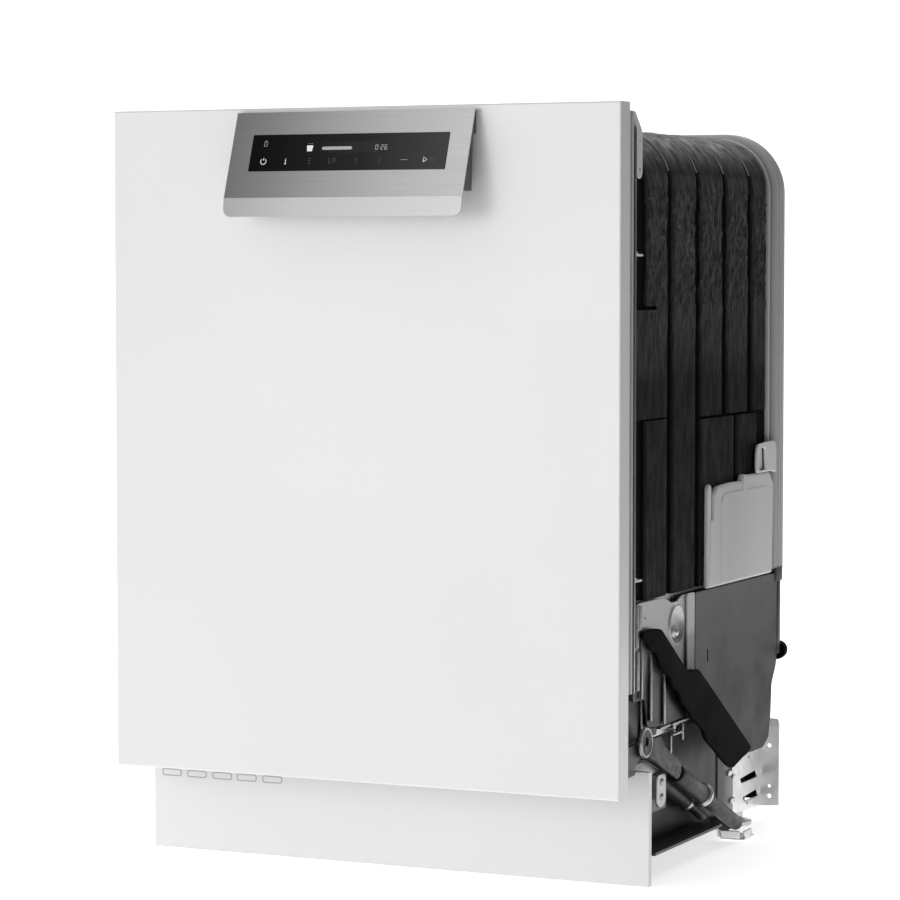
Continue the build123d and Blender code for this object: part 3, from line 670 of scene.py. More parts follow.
def arch_point(distance, lift):
    """A point on the tub's right side, corner or top, by distance up from MAT_SPLIT, raised by lift."""
    straight = FLAT_TOP - MAT_SPLIT
    if distance < straight:
        return Vector((TUB_HALF + lift, MAT_SPLIT + distance))
    angle = (distance - straight) / CORNER_R
    if angle < math.pi / 2:
        reach = CORNER_R + lift
        return Vector(
            (TUB_HALF - CORNER_R + reach * math.cos(angle), FLAT_TOP + reach * math.sin(angle))
        )
    past = (angle - math.pi / 2) * CORNER_R
    return Vector((TUB_HALF - CORNER_R - past, TUB_TOP + lift))


def crinkle(y, z, x):
    """Long wrinkles, deepest just under the corner, that fade out lower down the side."""
    strength = ease((z - FLOOR_Z - 0.52) / 0.14) * (1 - 0.9 * ease((z - FLAT_TOP + 0.006) / 0.014))
    place = Vector((y * 150, z * 42, x * 42))
    ridge = 1 - abs(noise.noise(place)) * 2.6
    fold = ridge * abs(ridge) + 0.6 * noise.noise(place * 2.3)
    return (0.08 + strength) * fold * CRINKLE_DEPTH


def mat_lift(edge):
    """A mat's height above the sheet at a distance from its nearest side edge, before its wrinkles."""
    return MAT_THICK - MAT_EDGE_DROP * (1 - ease(edge / MAT_EDGE_WIDTH))


def mat_arch(bm, y0, y1):
    """One band over both sides and the top; its edges draw back from the grooves below the corner."""
    rows = []
    for side in (1, -1):
        for k in range(MAT_STEPS + 1) if side > 0 else range(MAT_STEPS - 1, -1, -1):
            distance = ARCH_HALF * k / MAT_STEPS
            across_x, height = arch_point(distance, 0)
            widest = 5.6 + 2.6 * ease((height - MAT_SPLIT) / 0.05)
            gap = (0.9 + widest * (1 - ease((height - FLAT_TOP + 0.022) / 0.05))) * MM
            row = []
            for j in range(-1, MAT_BINS + 2):
                t = min(max(j, 0), MAT_BINS) / MAT_BINS
                y = y0 + gap + (y1 - y0 - 2 * gap) * t
                lift = MAT_FOOT if j in (-1, MAT_BINS + 1) else mat_lift(min(t, 1 - t) * (y1 - y0))
                if 0 < t < 1:
                    lift += crinkle(y, height, across_x)
                raised = arch_point(distance, lift)
                row.append(bm.verts.new((side * raised[0], y, raised[1])))
            rows.append(row)
    skin_rows(bm, rows)
    for row in (rows[0], rows[-1]):
        foot = [(math.copysign(TUB_HALF + MAT_FOOT, v.co.x), v.co.y, v.co.z) for v in row]
        skin_rows(bm, [row, [bm.verts.new(point) for point in foot]])


def mat_patch(bm, y0, y1, z0, z1, side):
    """A flat piece of mat below the arches, a grid with soft wrinkles and rounded edges."""
    ny, nz = max(int((y1 - y0) / 4), 3), max(int((z1 - z0) / 6), 2)
    rows = []
    for i in range(-1, nz + 2):
        row = []
        for j in range(-1, ny + 2):
            ty, tz = min(max(j, 0), ny) / ny, min(max(i, 0), nz) / nz
            y, z = fit_y(y0 + (y1 - y0) * ty), fit_z(z0 + (z1 - z0) * tz)
            if j in (-1, ny + 1) or i in (-1, nz + 1):
                lift = MAT_FOOT
            else:
                lift = mat_lift(min(ty, 1 - ty) * (y1 - y0) * MM) + crinkle(y, z, 0.28)
            row.append(bm.verts.new((side * (TUB_HALF + lift), y, z)))
        rows.append(row)
    skin_rows(bm, rows)


def build_mats(bm):
    """The five arches and the flat patches under them."""
    for y0, y1 in MAT_BANDS:
        mat_arch(bm, fit_y(y0), fit_y(y1))
    for y0, y1, z0, z1 in LOWER_PATCHES:
        for side in (1, -1):
            mat_patch(bm, y0, y1, z0, z1, side)


finish_piece(build_mats, "damping_mats", "bitumen", replaces="bitumen_mats")

# ---- plates on the sides -----------------------------------------------------------------
PLATE_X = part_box("hinge_plates")[1][0]  # outermost face of the side sheets
GUARD_EDGE = (
    (76, 270), (104, 271), (130, 268), (150, 254), (212, 212), (242, 213), (414, 104), (399, 98),
    (384, 96), (351, 88), (336, 93), (322, 100), (291, 118), (265, 132), (256, 144), (222, 162),
    (213, 169), (189, 184), (183, 193), (161, 204), (157, 213), (130, 226), (121, 235), (115, 244),
    (94, 250), (88, 258), (74, 264),
)
guard = sheet(GUARD_EDGE, 6, PLATE_X + 0.4 * MM, 4.8, 1.6, steps=3)
finish_pair(guard, "cable_guard_cover", "black_plastic", replaces="cable_guards")

SHIELD_EDGE = (
    (243.5, 296), (490, 295.5), (512, 294), (514, 215), (510, 188), (495, 167.5), (492, 132),
    (485, 106), (467, 96.5), (429, 96), (405, 99), (243.5, 200),
)
SHIELD_SLIT = ((280.5, 216), (283.5, 216), (283.5, 230), (280.5, 230))
shield = sheet(SHIELD_EDGE, 4, PLATE_X - 3 * MM, 2.6, 0.8, [place(SHIELD_SLIT)])
finish_pair(
    shield, "side_shield_sheet", "dark_grey_plastic", material=SHIELD_PAINTED_SHADE, replaces="side_shields"
)

DISH = (fit_y(192.5), fit_z(266.0))
DISH_R = 20.5  # mm
PLATE_EDGE = (
    (66, 296), (87, 299), (153, 298.5), (168, 295), (178, 291), (195, 291), (209, 296), (243, 296),
    (243, 163), (150, 161), (108, 165), (100, 196), (66, 196),
)
PLATE_REAR = ((219, 297), (242, 297), (242, 163), (219, 163))
plate_holes = [circle(DISH, DISH_R * MM, 40), circle((fit_y(101), fit_z(282)), 1.6 * MM, 12)]
plates = [
    sheet(PLATE_EDGE, 4, PLATE_X - 5 * MM, 2, 0.4, plate_holes),
    sheet(PLATE_REAR, 3, PLATE_X - 2.8 * MM, 2.4, 0.9),
]


def build_plate_details(bm):
    """Pressed beads, a rolled rim around the dish and the dish itself."""
    for y, z0, z1 in ((114.6, 172, 246), (152.3, 166, 222)):
        fit_box(bm, (PLATE_X - 3.2 * MM, PLATE_X - 1.2 * MM), (y - 2.2, y + 2.2), (z0, z1), 0.9, 3)
    bowl = [(0, -3.0), (6, -3.0), (12, -2.7), (17, -1.6)]
    rim = [(DISH_R - 1.2, 0.6), (DISH_R + 0.2, 1.5), (DISH_R + 1.6, 1.1), (DISH_R + 2.6, 0)]
    turned(bm, bowl + rim, (PLATE_X - 3 * MM, *DISH), OUTWARD, 48)


plates.append(bm_mesh(build_plate_details))
finish_pair(
    joined(*plates), "hinge_plate_sheets", "galvanised", material=PLATE_PAINTED_SHADE, replaces="hinge_plates"
)


def build_dish_hub(bm):
    """A small domed hub that sits low in each dish."""
    hub = [(0, 4.6), (2.5, 4.3), (4.6, 3.2), (5.6, 1.2), (7.5, 0.3), (7.8, -0.6)]
    turned(bm, hub, (PLATE_X - 6 * MM, DISH[0] + 2 * MM, DISH[1] - 8 * MM), OUTWARD, 28)


finish_pair(build_dish_hub, "dish_hubs", "machined_steel")


# ---- lower side: plates, brackets, springs -----------------------------------------------
TRAY_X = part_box("base_tray")[1][0]
BASE_EDGE = (
    (124, 26), (320, 26), (328, 12), (399.5, 14), (399.5, 118), (390, 124), (390, 158), (124, 158)
)
base_side = sheet(BASE_EDGE, 5, 0.2555, 1.0, 0.3)
finish_pair(base_side, "base_side_sheets", "dark_grey_plastic", material=BASE_PAINTED_SHADE)


def build_fold(bm):
    """The bright outward fold that closes the lower edge of the hinge plates."""
    for y0, y1 in ((142, 172), (178, 242)):
        fit_box(bm, (PLATE_X - 6.5 * MM, PLATE_X - 0.8 * MM), (y0, y1), (158.6, 161.2), 0.9)
    for x, y, z0, z1 in (
        (0.2806, 101, 151, 197),
        (0.2868, 86.5, 198, 258),
        (0.2868, 113, 171, 243),
        (0.2868, 152, 163, 218),
    ):
        fit_box(bm, (x, x + 2.4 * MM), (y - 2, y + 2), (z0, z1), 1.1, 3)


def build_plate_ears(bm):
    """The rolled front ear of each plate, beside the door frame."""
    for y0, y1, z0, z1 in ((67, 73, 253, 299), (73.5, 82, 270.5, 298), (69, 75, 208, 250)):
        fit_box(bm, (0.2860, PLATE_X + 1.6 * MM), (y0, y1), (z0, z1), 1.8, 4)


finish_pair(build_plate_ears, "plate_ears", "galvanised", material=FOLD_STEEL)
finish_pair(build_fold, "plate_folds", "galvanised", material=FOLD_STEEL)
LOWER_PLATE_EDGE = ((62, 152), (150, 152), (150, 262), (62, 262))
lower_plate = sheet(LOWER_PLATE_EDGE, 4, 0.2794, 1.0, 0.3)
finish_pair(lower_plate, "lower_hinge_plates", "galvanised", material=PLATE_PAINTED_SHADE)

BRACKET_ARM = (
    (62, 116), (64, 124), (72, 128), (90, 131), (112, 130), (132, 123), (150, 116), (166, 108),
    (166, 100), (140, 104), (120, 112), (90, 117),
)
BRACKET_LEAF = ((133, 111), (133, 82), (138, 76), (146, 74), (154, 76), (159, 82), (159, 111))
bracket = [
    sheet(BRACKET_ARM, 6, 0.2774, 5, 2.2),
    sheet(BRACKET_LEAF, 6, 0.2632, 2.5, 1.2),
    sheet(BRACKET_LEAF, 6, 0.2845, 3.5, 1.2),
]


def build_bracket_bits(bm):
    """The web between the two leaves, and the heads of the screws through them."""
    fit_box(bm, (0.2655, 0.2850), (134, 137), (84, 110), 0.8)
    for z in (86, 102):
        head = [(0, 1.9), (2.2, 1.7), (3.6, 0.9), (3.9, 0)]
        turned(bm, head, (0.2880, fit_y(146), fit_z(z)), OUTWARD, 18)


bracket.append(bm_mesh(build_bracket_bits))
finish_pair(joined(*bracket), "hinge_bracket_arms", "galvanised", material=BRACKET_PAINTED_SHEEN)

# the line the door springs work along, found from the CAD bar's box
SPRING_Y, SPRING_Z = fit_y(88.6), fit_z(151.8)
SPRING_DIR = Vector((0, 0.915, -0.4035)).normalized()
SPRING_X, INBOARD_X, LINK_X = 0.284, 0.2667, 0.2915  # the tubes' axes and the flat link's middle


def spring_point(distance, x=SPRING_X):
    """A point on the springs' line, in mm from the link's pin."""
    return Vector((x, SPRING_Y, SPRING_Z)) + SPRING_DIR * distance * MM


INBOARD = spring_point(0, INBOARD_X) + Vector((0, -0.004, -0.008))


def build_tubes(bm):
    """Outer tube with its bore, the thin rear tube and its domed end, and the shorter inboard tube."""
    outer = [(6.6, 198), (6.6, 119), (9.6, 118), (10.6, 118.6), (11, 120), (11, 203), (10.6, 204)]
    rear = [(6.6, 205), (8.2, 205), (8.5, 209), (8.5, 322), (7.6, 328), (5.2, 331.4), (0, 332.6)]
    inboard = [
        (0, 112),
        (7.8, 112),
        (9.2, 113.4),
        (9.4, 118),
        (9.4, 203),
        (6.6, 204),
        (6.4, 262),
        (5.0, 266),
        (0, 267.5),
    ]
    for profile, start in ((outer, spring_point(0)), (rear, spring_point(0)), (inboard, INBOARD)):
        turned(bm, profile, start, SPRING_DIR, 36)
    fit_box(bm, (TRAY_X - 0.0345, 0.2775), (380, 395), (12, 25.5), 1.5)


def build_lips(bm):
    """The bright flared lips where the thick tubes end."""
    flare = [
        (8.6, 203.2),
        (11.4, 202.6),
        (13.4, 203.8),
        (14, 205.6),
        (13.8, 208),
        (12.4, 209),
        (9.0, 208.4),
        (8.6, 203.2),
    ]
    inner = [
        (7.2, 203.2),
        (9.4, 202.8),
        (10.6, 204),
        (10.8, 206.4),
        (10.0, 207.8),
        (7.2, 207.6),
        (7.2, 203.2),
    ]
    for profile, start in ((flare, spring_point(0)), (inner, INBOARD)):
        turned(bm, profile, start, SPRING_DIR, 40)


finish_pair(
    build_tubes, "spring_tube_bodies", "machined_steel", material=SPRING_STEEL, replaces="spring_tubes"
)
finish_pair(build_lips, "spring_tube_lips", "machined_steel", material=BRIGHT_STEEL)

SLOT_HALF, SLOT_R = 6.44 * MM, 4.8 * MM  # the pin slot's half length and end radius


def spring_frame(x):
    """Local x runs down the spring, local y is up and back, local z points out of the side."""
    up = Vector((0, 0.4035, 0.915)).normalized()
    rows = zip(SPRING_DIR, up, OUTWARD, (x, SPRING_Y, SPRING_Z))
    return Matrix([tuple(row) for row in rows] + [(0, 0, 0, 1)])


def link_mesh():
    """The flat link: a round head with a slot for the lever's pin and a tapering bar."""
    head = circle((0, 0), 0.0155, 36)
    turns = [2 * math.pi * (k + 0.5) / 28 for k in range(28)]
    straight = SLOT_HALF - SLOT_R
    slot = [
        (
            SLOT_R * math.cos(a), math.copysign(straight, math.sin(a)) + SLOT_R * math.sin(a)
        ) for a in turns
    ]
    left = [p for p in head if p[0] < 0.006]
    left.sort(key=lambda p: math.atan2(p[1], p[0]) % (2 * math.pi))
    lower = [(0.016, -0.0112), (0.104, -0.0105), (0.109, -0.006)]
    upper = [(x, -y) for x, y in reversed(lower)]
    plate = outline_mesh([left + lower + upper, slot], 3.8 * MM, 0.8 * MM)
    plate.transform(spring_frame(LINK_X))
    return plate


def build_stem(bm):
    """The stem that runs inside the tube, riveted to the bar through a thick collar."""
    stem = [(0, 95), (5.2, 95), (6, 96), (6, 274), (5, 276), (0, 276)]
    turned(bm, stem, spring_point(0), SPRING_DIR, 28)
    rivet = [(0, -4), (4.5, -4), (4.5, 4.2), (3.8, 5.2), (0, 5.6)]
    for distance in (99, 105.5):
        turned(bm, rivet, spring_point(distance, 0.2885), OUTWARD, 20)


def build_head_rim(bm):
    """A pressed bright rim around the link's head."""
    rim = [(13.2, 1.2), (14.2, 2.4), (15.6, 2.5), (16.4, 1.2), (16.4, -1.2), (15.4, -1.2), (13.2, 1.2)]
    turned(bm, rim, spring_point(0, LINK_X), OUTWARD, 44)


finish_pair(
    joined(link_mesh(), bm_mesh(build_stem)),
    "spring_link_bars",
    "machined_steel",
    body="spring_links",
    material=SPRING_STEEL,
    replaces="spring_links",
)
finish_pair(
    build_head_rim, "spring_link_rims", "machined_steel", body="spring_links", material=FOLD_STEEL
)


ANCHOR_BOXES = (  # x from, x to in metres; y, z and edge radius in mm
    (0.2660, 0.2955, 384, 418, 0.8, 4.2, 1.6),
    (0.2930, 0.2958, 388, 408, 3, 12, 1.2),
    (0.2640, 0.2664, 380, 414, 3, 20, 1.2),
    (0.2680, 0.2900, 382, 385, 3, 12, 1.2),
    (0.2720, 0.2800, 396, 406, 3.5, 7.5, 1.6),
    (0.2840, 0.2910, 414, 424, 2, 7, 1.8),
)


def build_anchor(bm):
    """The pressed steel stirrup that anchors the lower end of the springs, bent under the tube."""
    for x0, x1, y0, y1, z0, z1, radius in ANCHOR_BOXES:
        fit_box(bm, (x0, x1), (y0, y1), (z0, z1), radius, 3)
    for vert in bm.verts:
        dent = noise.noise(vert.co * 90) * 2.2 * MM
        vert.co += Vector((dent * 0.5, dent, dent * 0.35 if vert.co.z > fit_z(3) else 0))


finish_pair(build_anchor, "spring_anchors", "machined_steel", material=MATERIALS["bright_sheet"])


def build_latch_rod(bm):
    """A short adjusting rod that hangs from a tab in the fold, with a ball at its foot."""
    fit_box(bm, (0.2800, 0.2830), (185.5, 189.5), (118, 146), 1.0, 3)
    ball = [(0, -4.6), (2.6, -3.8), (4.3, -1.6), (4.6, 0), (4.0, 2.2), (2.2, 4.0), (0, 4.6)]
    turned(bm, ball, (0.2815, fit_y(186), fit_z(115)), UPWARD, 20)
    fit_box(bm, (0.2800, 0.2865), (184, 216), (146, 149), 1.0)
    fit_box(bm, (0.2835, 0.2865), (212, 216), (138, 157), 1.0)
    fit_box(bm, (0.2560, 0.2865), (186, 190), (150, 152.4), 0.8)


def build_slot_shades(bm):
    """Black blocks in the fold where the adjusting rod hooks in: painted shade inside the slots."""
    fit_box(bm, (0.2568, 0.2590), (196, 224), (141, 156), 0.8)
    fit_box(bm, (0.2845, 0.2860), (196, 211), (150.4, 156), 0.5)


finish_pair(build_latch_rod, "adjuster_rods", "machined_steel", material=FOLD_STEEL)
finish_pair(build_slot_shades, "adjuster_slot_shades", "black_plastic")


def build_leg_backing(bm):
    """Dark cross members seen through the slots of the rear legs."""
    fit_box(bm, (0.2265, 0.2285), (442, 541), (24, 112), 0.6)
    fit_box(bm, (0.2285, 0.2550), (538, 540.5), (24, 112), 0.6)
    fit_box(bm, (-0.2265, 0.2265), (536, 540), (60, 112), 0.6)


LEG_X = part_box("rear_legs")[1][0] - 26 * MM
LEG_EDGE = ((400, 20.5), (545, 14.5), (545, 118), (400, 118))
LEG_SLOTS = (
    ((476, 56), (530, 59), (534, 55), (534, 50.5), (480, 50.5)),
    ((486, 33), (534, 36), (538, 32), (538, 27.5), (490, 27.5)),
)
LEG_FRONT_EDGE = ((398, 20.5), (449, 18.5), (449, 119), (398, 119))


def leg_mesh():
    """A rear leg: a slotted web along the side and a drilled flange turned outwards at the back."""
    slots = [soften(place(points), 2 * MM, 3) for points in LEG_SLOTS]
    web = sheet(LEG_EDGE, 3, LEG_X, 2, 0.5, slots)
    corner = [(0, 14.5), (26, 16.5), (26, 113), (24, 119), (0, 120.5)]
    holes = [circle((14 * MM, z * MM), r * MM, 20) for z, r in ((27, 2.5), (87, 2.5), (39, 1.9))]
    flange = outline_mesh([[(x * MM, z * MM) for x, z in corner], *holes], 2 * MM, 0.5 * MM)
    flange.transform(
        Matrix(((1, 0, 0, LEG_X), (0, 0, -1, fit_y(544)), (0, 1, 0, FLOOR_Z), (0, 0, 0, 1)))
    )
    return joined(web, flange)


def build_leg_bits(bm):
    """Crimped clips, a rivet and a bent tab on the outer face of each rear leg."""
    for y, z, w, h in ((428, 66, 12, 6), (440, 70, 8, 8), (436, 33, 14, 6), (444, 61, 9, 5)):
        fit_box(bm, (0.2580, 0.2610), (y, y + w), (z, z + h), 1.4, 3)
    for y, z, r in ((505, 77, 2.0), (500, 24, 1.6), (452, 82, 1.6), (528, 90, 1.4)):
        dome = [(0, 1.4), (r * 0.6, 1.2), (r, 0.5), (r * 1.08, 0)]
        turned(bm, dome, (0.2572, fit_y(y), fit_z(z)), OUTWARD, 16)


leg_front = sheet(LEG_FRONT_EDGE, 2, LEG_X + 2.1 * MM, 0.9, 0.3, steps=3)
finish_pair(leg_front, "base_rear_sheets", "galvanised", material=BASE_PAINTED_SHADE)
finish_pair(
    leg_mesh(),
    "rear_leg_sheets",
    "galvanised",
    material=MATERIALS["bright_sheet"],
    replaces="rear_legs",
)
finish_pair(build_leg_backing, "rear_cross_members", "black_plastic")
finish_pair(build_leg_bits, "rear_leg_clips", "galvanised", material=BRIGHT_STEEL)


def build_rear_bung(bm):
    """The black grommet that shows past the shield's rear edge."""
    dome = [(0, 6.5), (4, 6.2), (8, 4.6), (10.5, 1.6), (11, -3), (11, -9), (0, -9)]
    turned(bm, dome, (0.2835, fit_y(533), fit_z(203)), BACKWARD, 28)


finish_pair(build_rear_bung, "rear_grommets", "black_plastic")


# ---- corner, rim and bracket -------------------------------------------------------------
def arch_row(bm, side, distance, profile, shift=0):
    """Vertices of a (y in mm, lift in mm) profile at one distance along the arch."""
    row = []
    for y, lift in profile:
        point = arch_point(distance, lift * MM)
        row.append(bm.verts.new((side * point[0], fit_y(shift + y), point[1])))
    return row


def arch_sweep(bm, profile, bottom, closed=False):
    """Sweeps a profile from the height bottom up one side, over the top and down the other side."""
    corner = [FLAT_TOP - MAT_SPLIT + CORNER_R * math.pi / 2 * k / 26 for k in range(27)]
    stations = [bottom - MAT_SPLIT, *corner, ARCH_HALF]
    rows = []
    for side in (1, -1):
        for distance in stations if side > 0 else stations[-2::-1]:
            rows.append(arch_row(bm, side, distance, profile))
    skin_rows(bm, rows, closed)
    if closed:
        bm.faces.new(rows[0])
        bm.faces.new(list(reversed(rows[-1])))


RIM_PROFILE = (
    (491, 0.3), (491.6, 3.2), (493, 4.6), (495, 5.0), (496.8, 4.2), (497.8, 1.6), (501.5, 1.2),
    (503, 4.0), (504, 8.6), (505.4, 10.4), (507, 10.9), (508.6, 10.2), (509.6, 8.0), (510.6, 4.4),
    (514, 4.2), (515, 7.6), (516, 10.2), (517.6, 10.9), (519.2, 10.2), (520.2, 7.4), (521, 4.6),
    (523, 4.6), (523.8, 8.8), (525, 11.0), (526.6, 11.2), (527.8, 9.6), (528, 0.3),
)
RIM_PAINTED_HIGHLIGHTS = (  # painted highlight and shade stripes over the beads: y in mm, grey
    (491, 0.25), (494, 0.72), (498, 0.05), (501, 0.07), (505, 0.55), (508, 0.66), (511, 0.09),
    (513, 0.09), (516, 0.60), (519, 0.70), (521.5, 0.07), (523, 0.10), (525.5, 0.75), (528, 0.30),
)
# the rim's grey stripes are painted highlights and shade over its beads
RIM_HIGHLIGHT_STEEL = axis_grey("rim_steel", "Y", RIM_PAINTED_HIGHLIGHTS, 0.42, 0.3, 0.05, 0.12)
rim = bm_mesh(lambda bm: arch_sweep(bm, RIM_PROFILE, fit_z(300), closed=True))
finish_piece(rim, "rear_rim_beads", "tub_stainless", replaces="rear_rim", material=RIM_HIGHLIGHT_STEEL)
SEAMS_Y = (177.8, 262, 346, 429.4)
SEAM_PROFILE = ((-0.75, 4.2), (-0.55, 5.0), (0, 5.4), (0.55, 5.0), (0.75, 4.2))
# a thin black sheet under the mats, so the grooves between them read dark: painted shade in the grooves
GROOVE_SHADE_PROFILE = ((62, 0.1), (62, 0.9), (488, 0.9), (488, 0.1))
groove_shade = bm_mesh(lambda bm: arch_sweep(bm, GROOVE_SHADE_PROFILE, fit_z(301)))
finish_piece(groove_shade, "mat_groove_shade", "bitumen", material=MATERIALS["black_plastic"])


SEAM_STEPS = 40


def build_seams(bm):
    """The thin ridge that stands up between two mats over the corner and the top, coloured light grey
    as a painted highlight.
    """
    first = FLAT_TOP - MAT_SPLIT + CORNER_R * 0.30
    for y in SEAMS_Y:
        for side in (1, -1):
            stops = [first + (ARCH_HALF - first) * k / SEAM_STEPS for k in range(SEAM_STEPS + 1)]
            skin_rows(bm, [arch_row(bm, side, stop, SEAM_PROFILE, y) for stop in stops])


# the seam ridges' light grey is a painted highlight on the mats' meeting edges
SEAM_PAINTED_HIGHLIGHT = spangled("seam_edge", (0.42, 0.42, 0.42), 0.4, 0.7)
finish_piece(build_seams, "mat_seams", "bitumen", material=SEAM_PAINTED_HIGHLIGHT)

FIX_EDGE = (
    (58.4, 812), (59.6, 811.6), (78.5, 793), (79.5, 789), (79.5, 748), (76, 743.5), (71.5, 742.5),
    (66, 744), (64.4, 748), (58.4, 748),
)
FIX_SLOT = ((60.2, 786.8), (63.4, 786.8), (63.4, 751), (60.2, 751))
fix_holes = [soften(place(FIX_SLOT), 1.2 * MM, 3)]
fix_holes += [circle((fit_y(73), fit_z(z)), 2.25 * MM, 20) for z in (752, 782)]
fix_plate = sheet(FIX_EDGE, 2.5, 0.2884, 1.6, 0.4, fix_holes, steps=4)


def build_fix_return(bm):
    """The bracket's return behind the door frame, and the frame's small spring clips."""
    fit_box(bm, (0.2790, 0.2886), (58.3, 59.8), (749, 794), 0.5)
    for z in (664.5, 325):
        fit_box(bm, (0.2800, 0.2905), (58.6, 81), (z - 2.2, z + 0.2), 0.9, 3)
        fit_box(bm, (0.2870, 0.2905), (58.6, 66), (z, z + 2.6), 0.9, 3)


fix_bracket = joined(fix_plate, bm_mesh(build_fix_return))
finish_pair(
    fix_bracket, "fixing_brackets", "galvanised", material=PALE_SHEET, replaces="cabinet_brackets"
)


def build_frame_bead(bm):
    """The bright edge of the front frame beside the door."""
    fit_box(bm, (0.2905, 0.2932), (52.2, 55.4), (208, 742), 1.0, 3)


finish_pair(build_frame_bead, "frame_beads", "galvanised", material=FOLD_STEEL)

# ---- water tank on the right side --------------------------------------------------------
TANK_EDGE = (
    (294, 297), (489.5, 297), (493.5, 401), (486, 407), (480, 415), (412, 415.3), (388.5, 417),
    (386, 409.5), (349, 410), (310, 408), (298, 402), (295, 373), (285, 372.5), (283, 297),
)
TANK_PANEL = ((318, 299), (480, 299), (482, 394), (470, 400), (330, 400), (316, 392))
TANK_NECK = ((388, 398), (400, 398), (400, 416), (388, 416))
tank = [
    sheet(TANK_EDGE, 5, 0.2835, 7.0, 2.6),
    sheet(TANK_PANEL, 9, 0.2885, 3.0, 1.4),
    sheet(TANK_NECK, 3, 0.2890, 2.6, 1.2),
]
# painted light on the tank: a painted highlight near its front edge, painted shade over the middle,
# lighter again at the rear
TANK_PAINTED_LIGHT = axis_grey(
    "tank_skin", "Y", ((283, 0.62), (306, 0.74), (318, 0.62), (380, 0.56), (490, 0.66)), 0.42, 0.0, 0.3
)
finish_piece(
    joined(*tank),
    "water_tank_body",
    "light_grey_plastic",
    material=TANK_PAINTED_LIGHT,
    replaces="water_reservoir",
)
TANK_STRIP = (
    (279.5, 297), (281, 407), (284, 411.5), (289, 411.5), (291.5, 407), (289.5, 346), (284, 297)
)
strip = sheet(TANK_STRIP, 2.5, 0.2838, 5.4, 1.8)
finish_piece(strip, "water_tank_strip", "light_grey_plastic", material=MATERIALS["tank"])
AIR_EDGE = (
    (433, 415.5), (434, 440), (437, 448), (470, 450), (495, 450), (500, 441), (499, 412), (486, 415.5)
)
AIR_HOLE = ((441, 418), (442, 438), (447, 443), (462, 443), (464, 418))
air_frame = sheet(AIR_EDGE, 5, 0.2880, 3.4, 1.2, [soften(place(AIR_HOLE), 4 * MM)])
air_back = sheet(AIR_HOLE, 4, 0.2850, 2.0, 0.6)
finish_piece(
    joined(air_frame, air_back),
    "air_break_cover",
    "light_grey_plastic",
    material=PALE_SHEET,
    replaces="air_break",
)


def build_rear_edge(bm):
    """The folded rear edge of the side sheets below the rim."""
    fit_box(bm, (0.2800, 0.2895), (512, 522), (200, 300), 2.0, 3)
    fit_box(bm, (0.2790, 0.2900), (504, 527), (285, 302), 2.0, 3)


finish_pair(build_rear_edge, "rear_side_edges", "galvanised", material=MATERIALS["dark_sheet"])

# ---- control panel -----------------------------------------------------------------------
GLASS_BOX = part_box("display_glass")
GLASS_TILT = math.radians(19.65)
face_up = Vector((0, math.sin(GLASS_TILT), math.cos(GLASS_TILT)))
face_out = Vector((0, -math.cos(GLASS_TILT), math.sin(GLASS_TILT)))
glass_middle = Vector([(a + b) / 2 for a, b in zip(*GLASS_BOX)]) + face_out * 1.03 * MM
FACE = Matrix(
    [(1, 0, 0, 0)] + [(0, face_up[k], face_out[k], glass_middle[k]) for k in (1, 2)] + [(0, 0, 0, 1)]
)


def lit(name, grey, glow):
    """Back-lit print, slightly uneven."""
    s = Shader(name, Roughness=0.5)
    colour = s.ramp(s.noise(400, detail=3), (grey * 0.85,) * 3, (grey,) * 3)
    s.colour(colour)
    s.link(colour, s.bsdf.inputs["Emission Color"])
    s.bsdf.inputs["Emission Strength"].default_value = glow
    return s.material


def arc(centre, radius, start, end, count):
    """Points on an arc given in degrees."""
    angles = [math.radians(start + (end - start) * k / count) for k in range(count + 1)]
    return [(centre[0] + radius * math.cos(a), centre[1] + radius * math.sin(a)) for a in angles]


def strokes(paths, width):
    """Raised strokes on the glass, from paths in millimetres on its face."""
    mesh = wire_mesh([[(x * MM, y * MM, 0) for x, y in path] for path in paths], width * MM)
    mesh.transform(FACE @ Matrix.Diagonal((1, 1, 0.25, 1)))
    return mesh


def patches(loops):
    """Thin filled marks on the glass."""
    mesh = outline_mesh([[(x * MM, y * MM) for x, y in loop] for loop in loops], 0.12 * MM)
    mesh.transform(FACE)
    return mesh


SEGMENTS = {"0": "abcdef", "2": "abged", "6": "afgedc"}
SEGMENT_LINES = {
    "a": ((0, 6), (3, 6)), "b": ((3, 6), (3, 3)), "c": ((3, 3), (3, 0)), "d": ((0, 0), (3, 0)),
    "e": ((0, 0), (0, 3)), "f": ((0, 3), (0, 6)), "g": ((0, 3), (3, 3)),
}


def digit(symbol, x, y):
    """A seven-segment digit whose lower left corner is at (x, y)."""
    return [[(x + a * 0.85, y + b * 0.85) for a, b in SEGMENT_LINES[k]] for k in SEGMENTS[symbol]]


def line(*points):
    """A stroke through points whose heights are measured from the row of keys."""
    return [(x, KEYS_Y + y) for x, y in points]


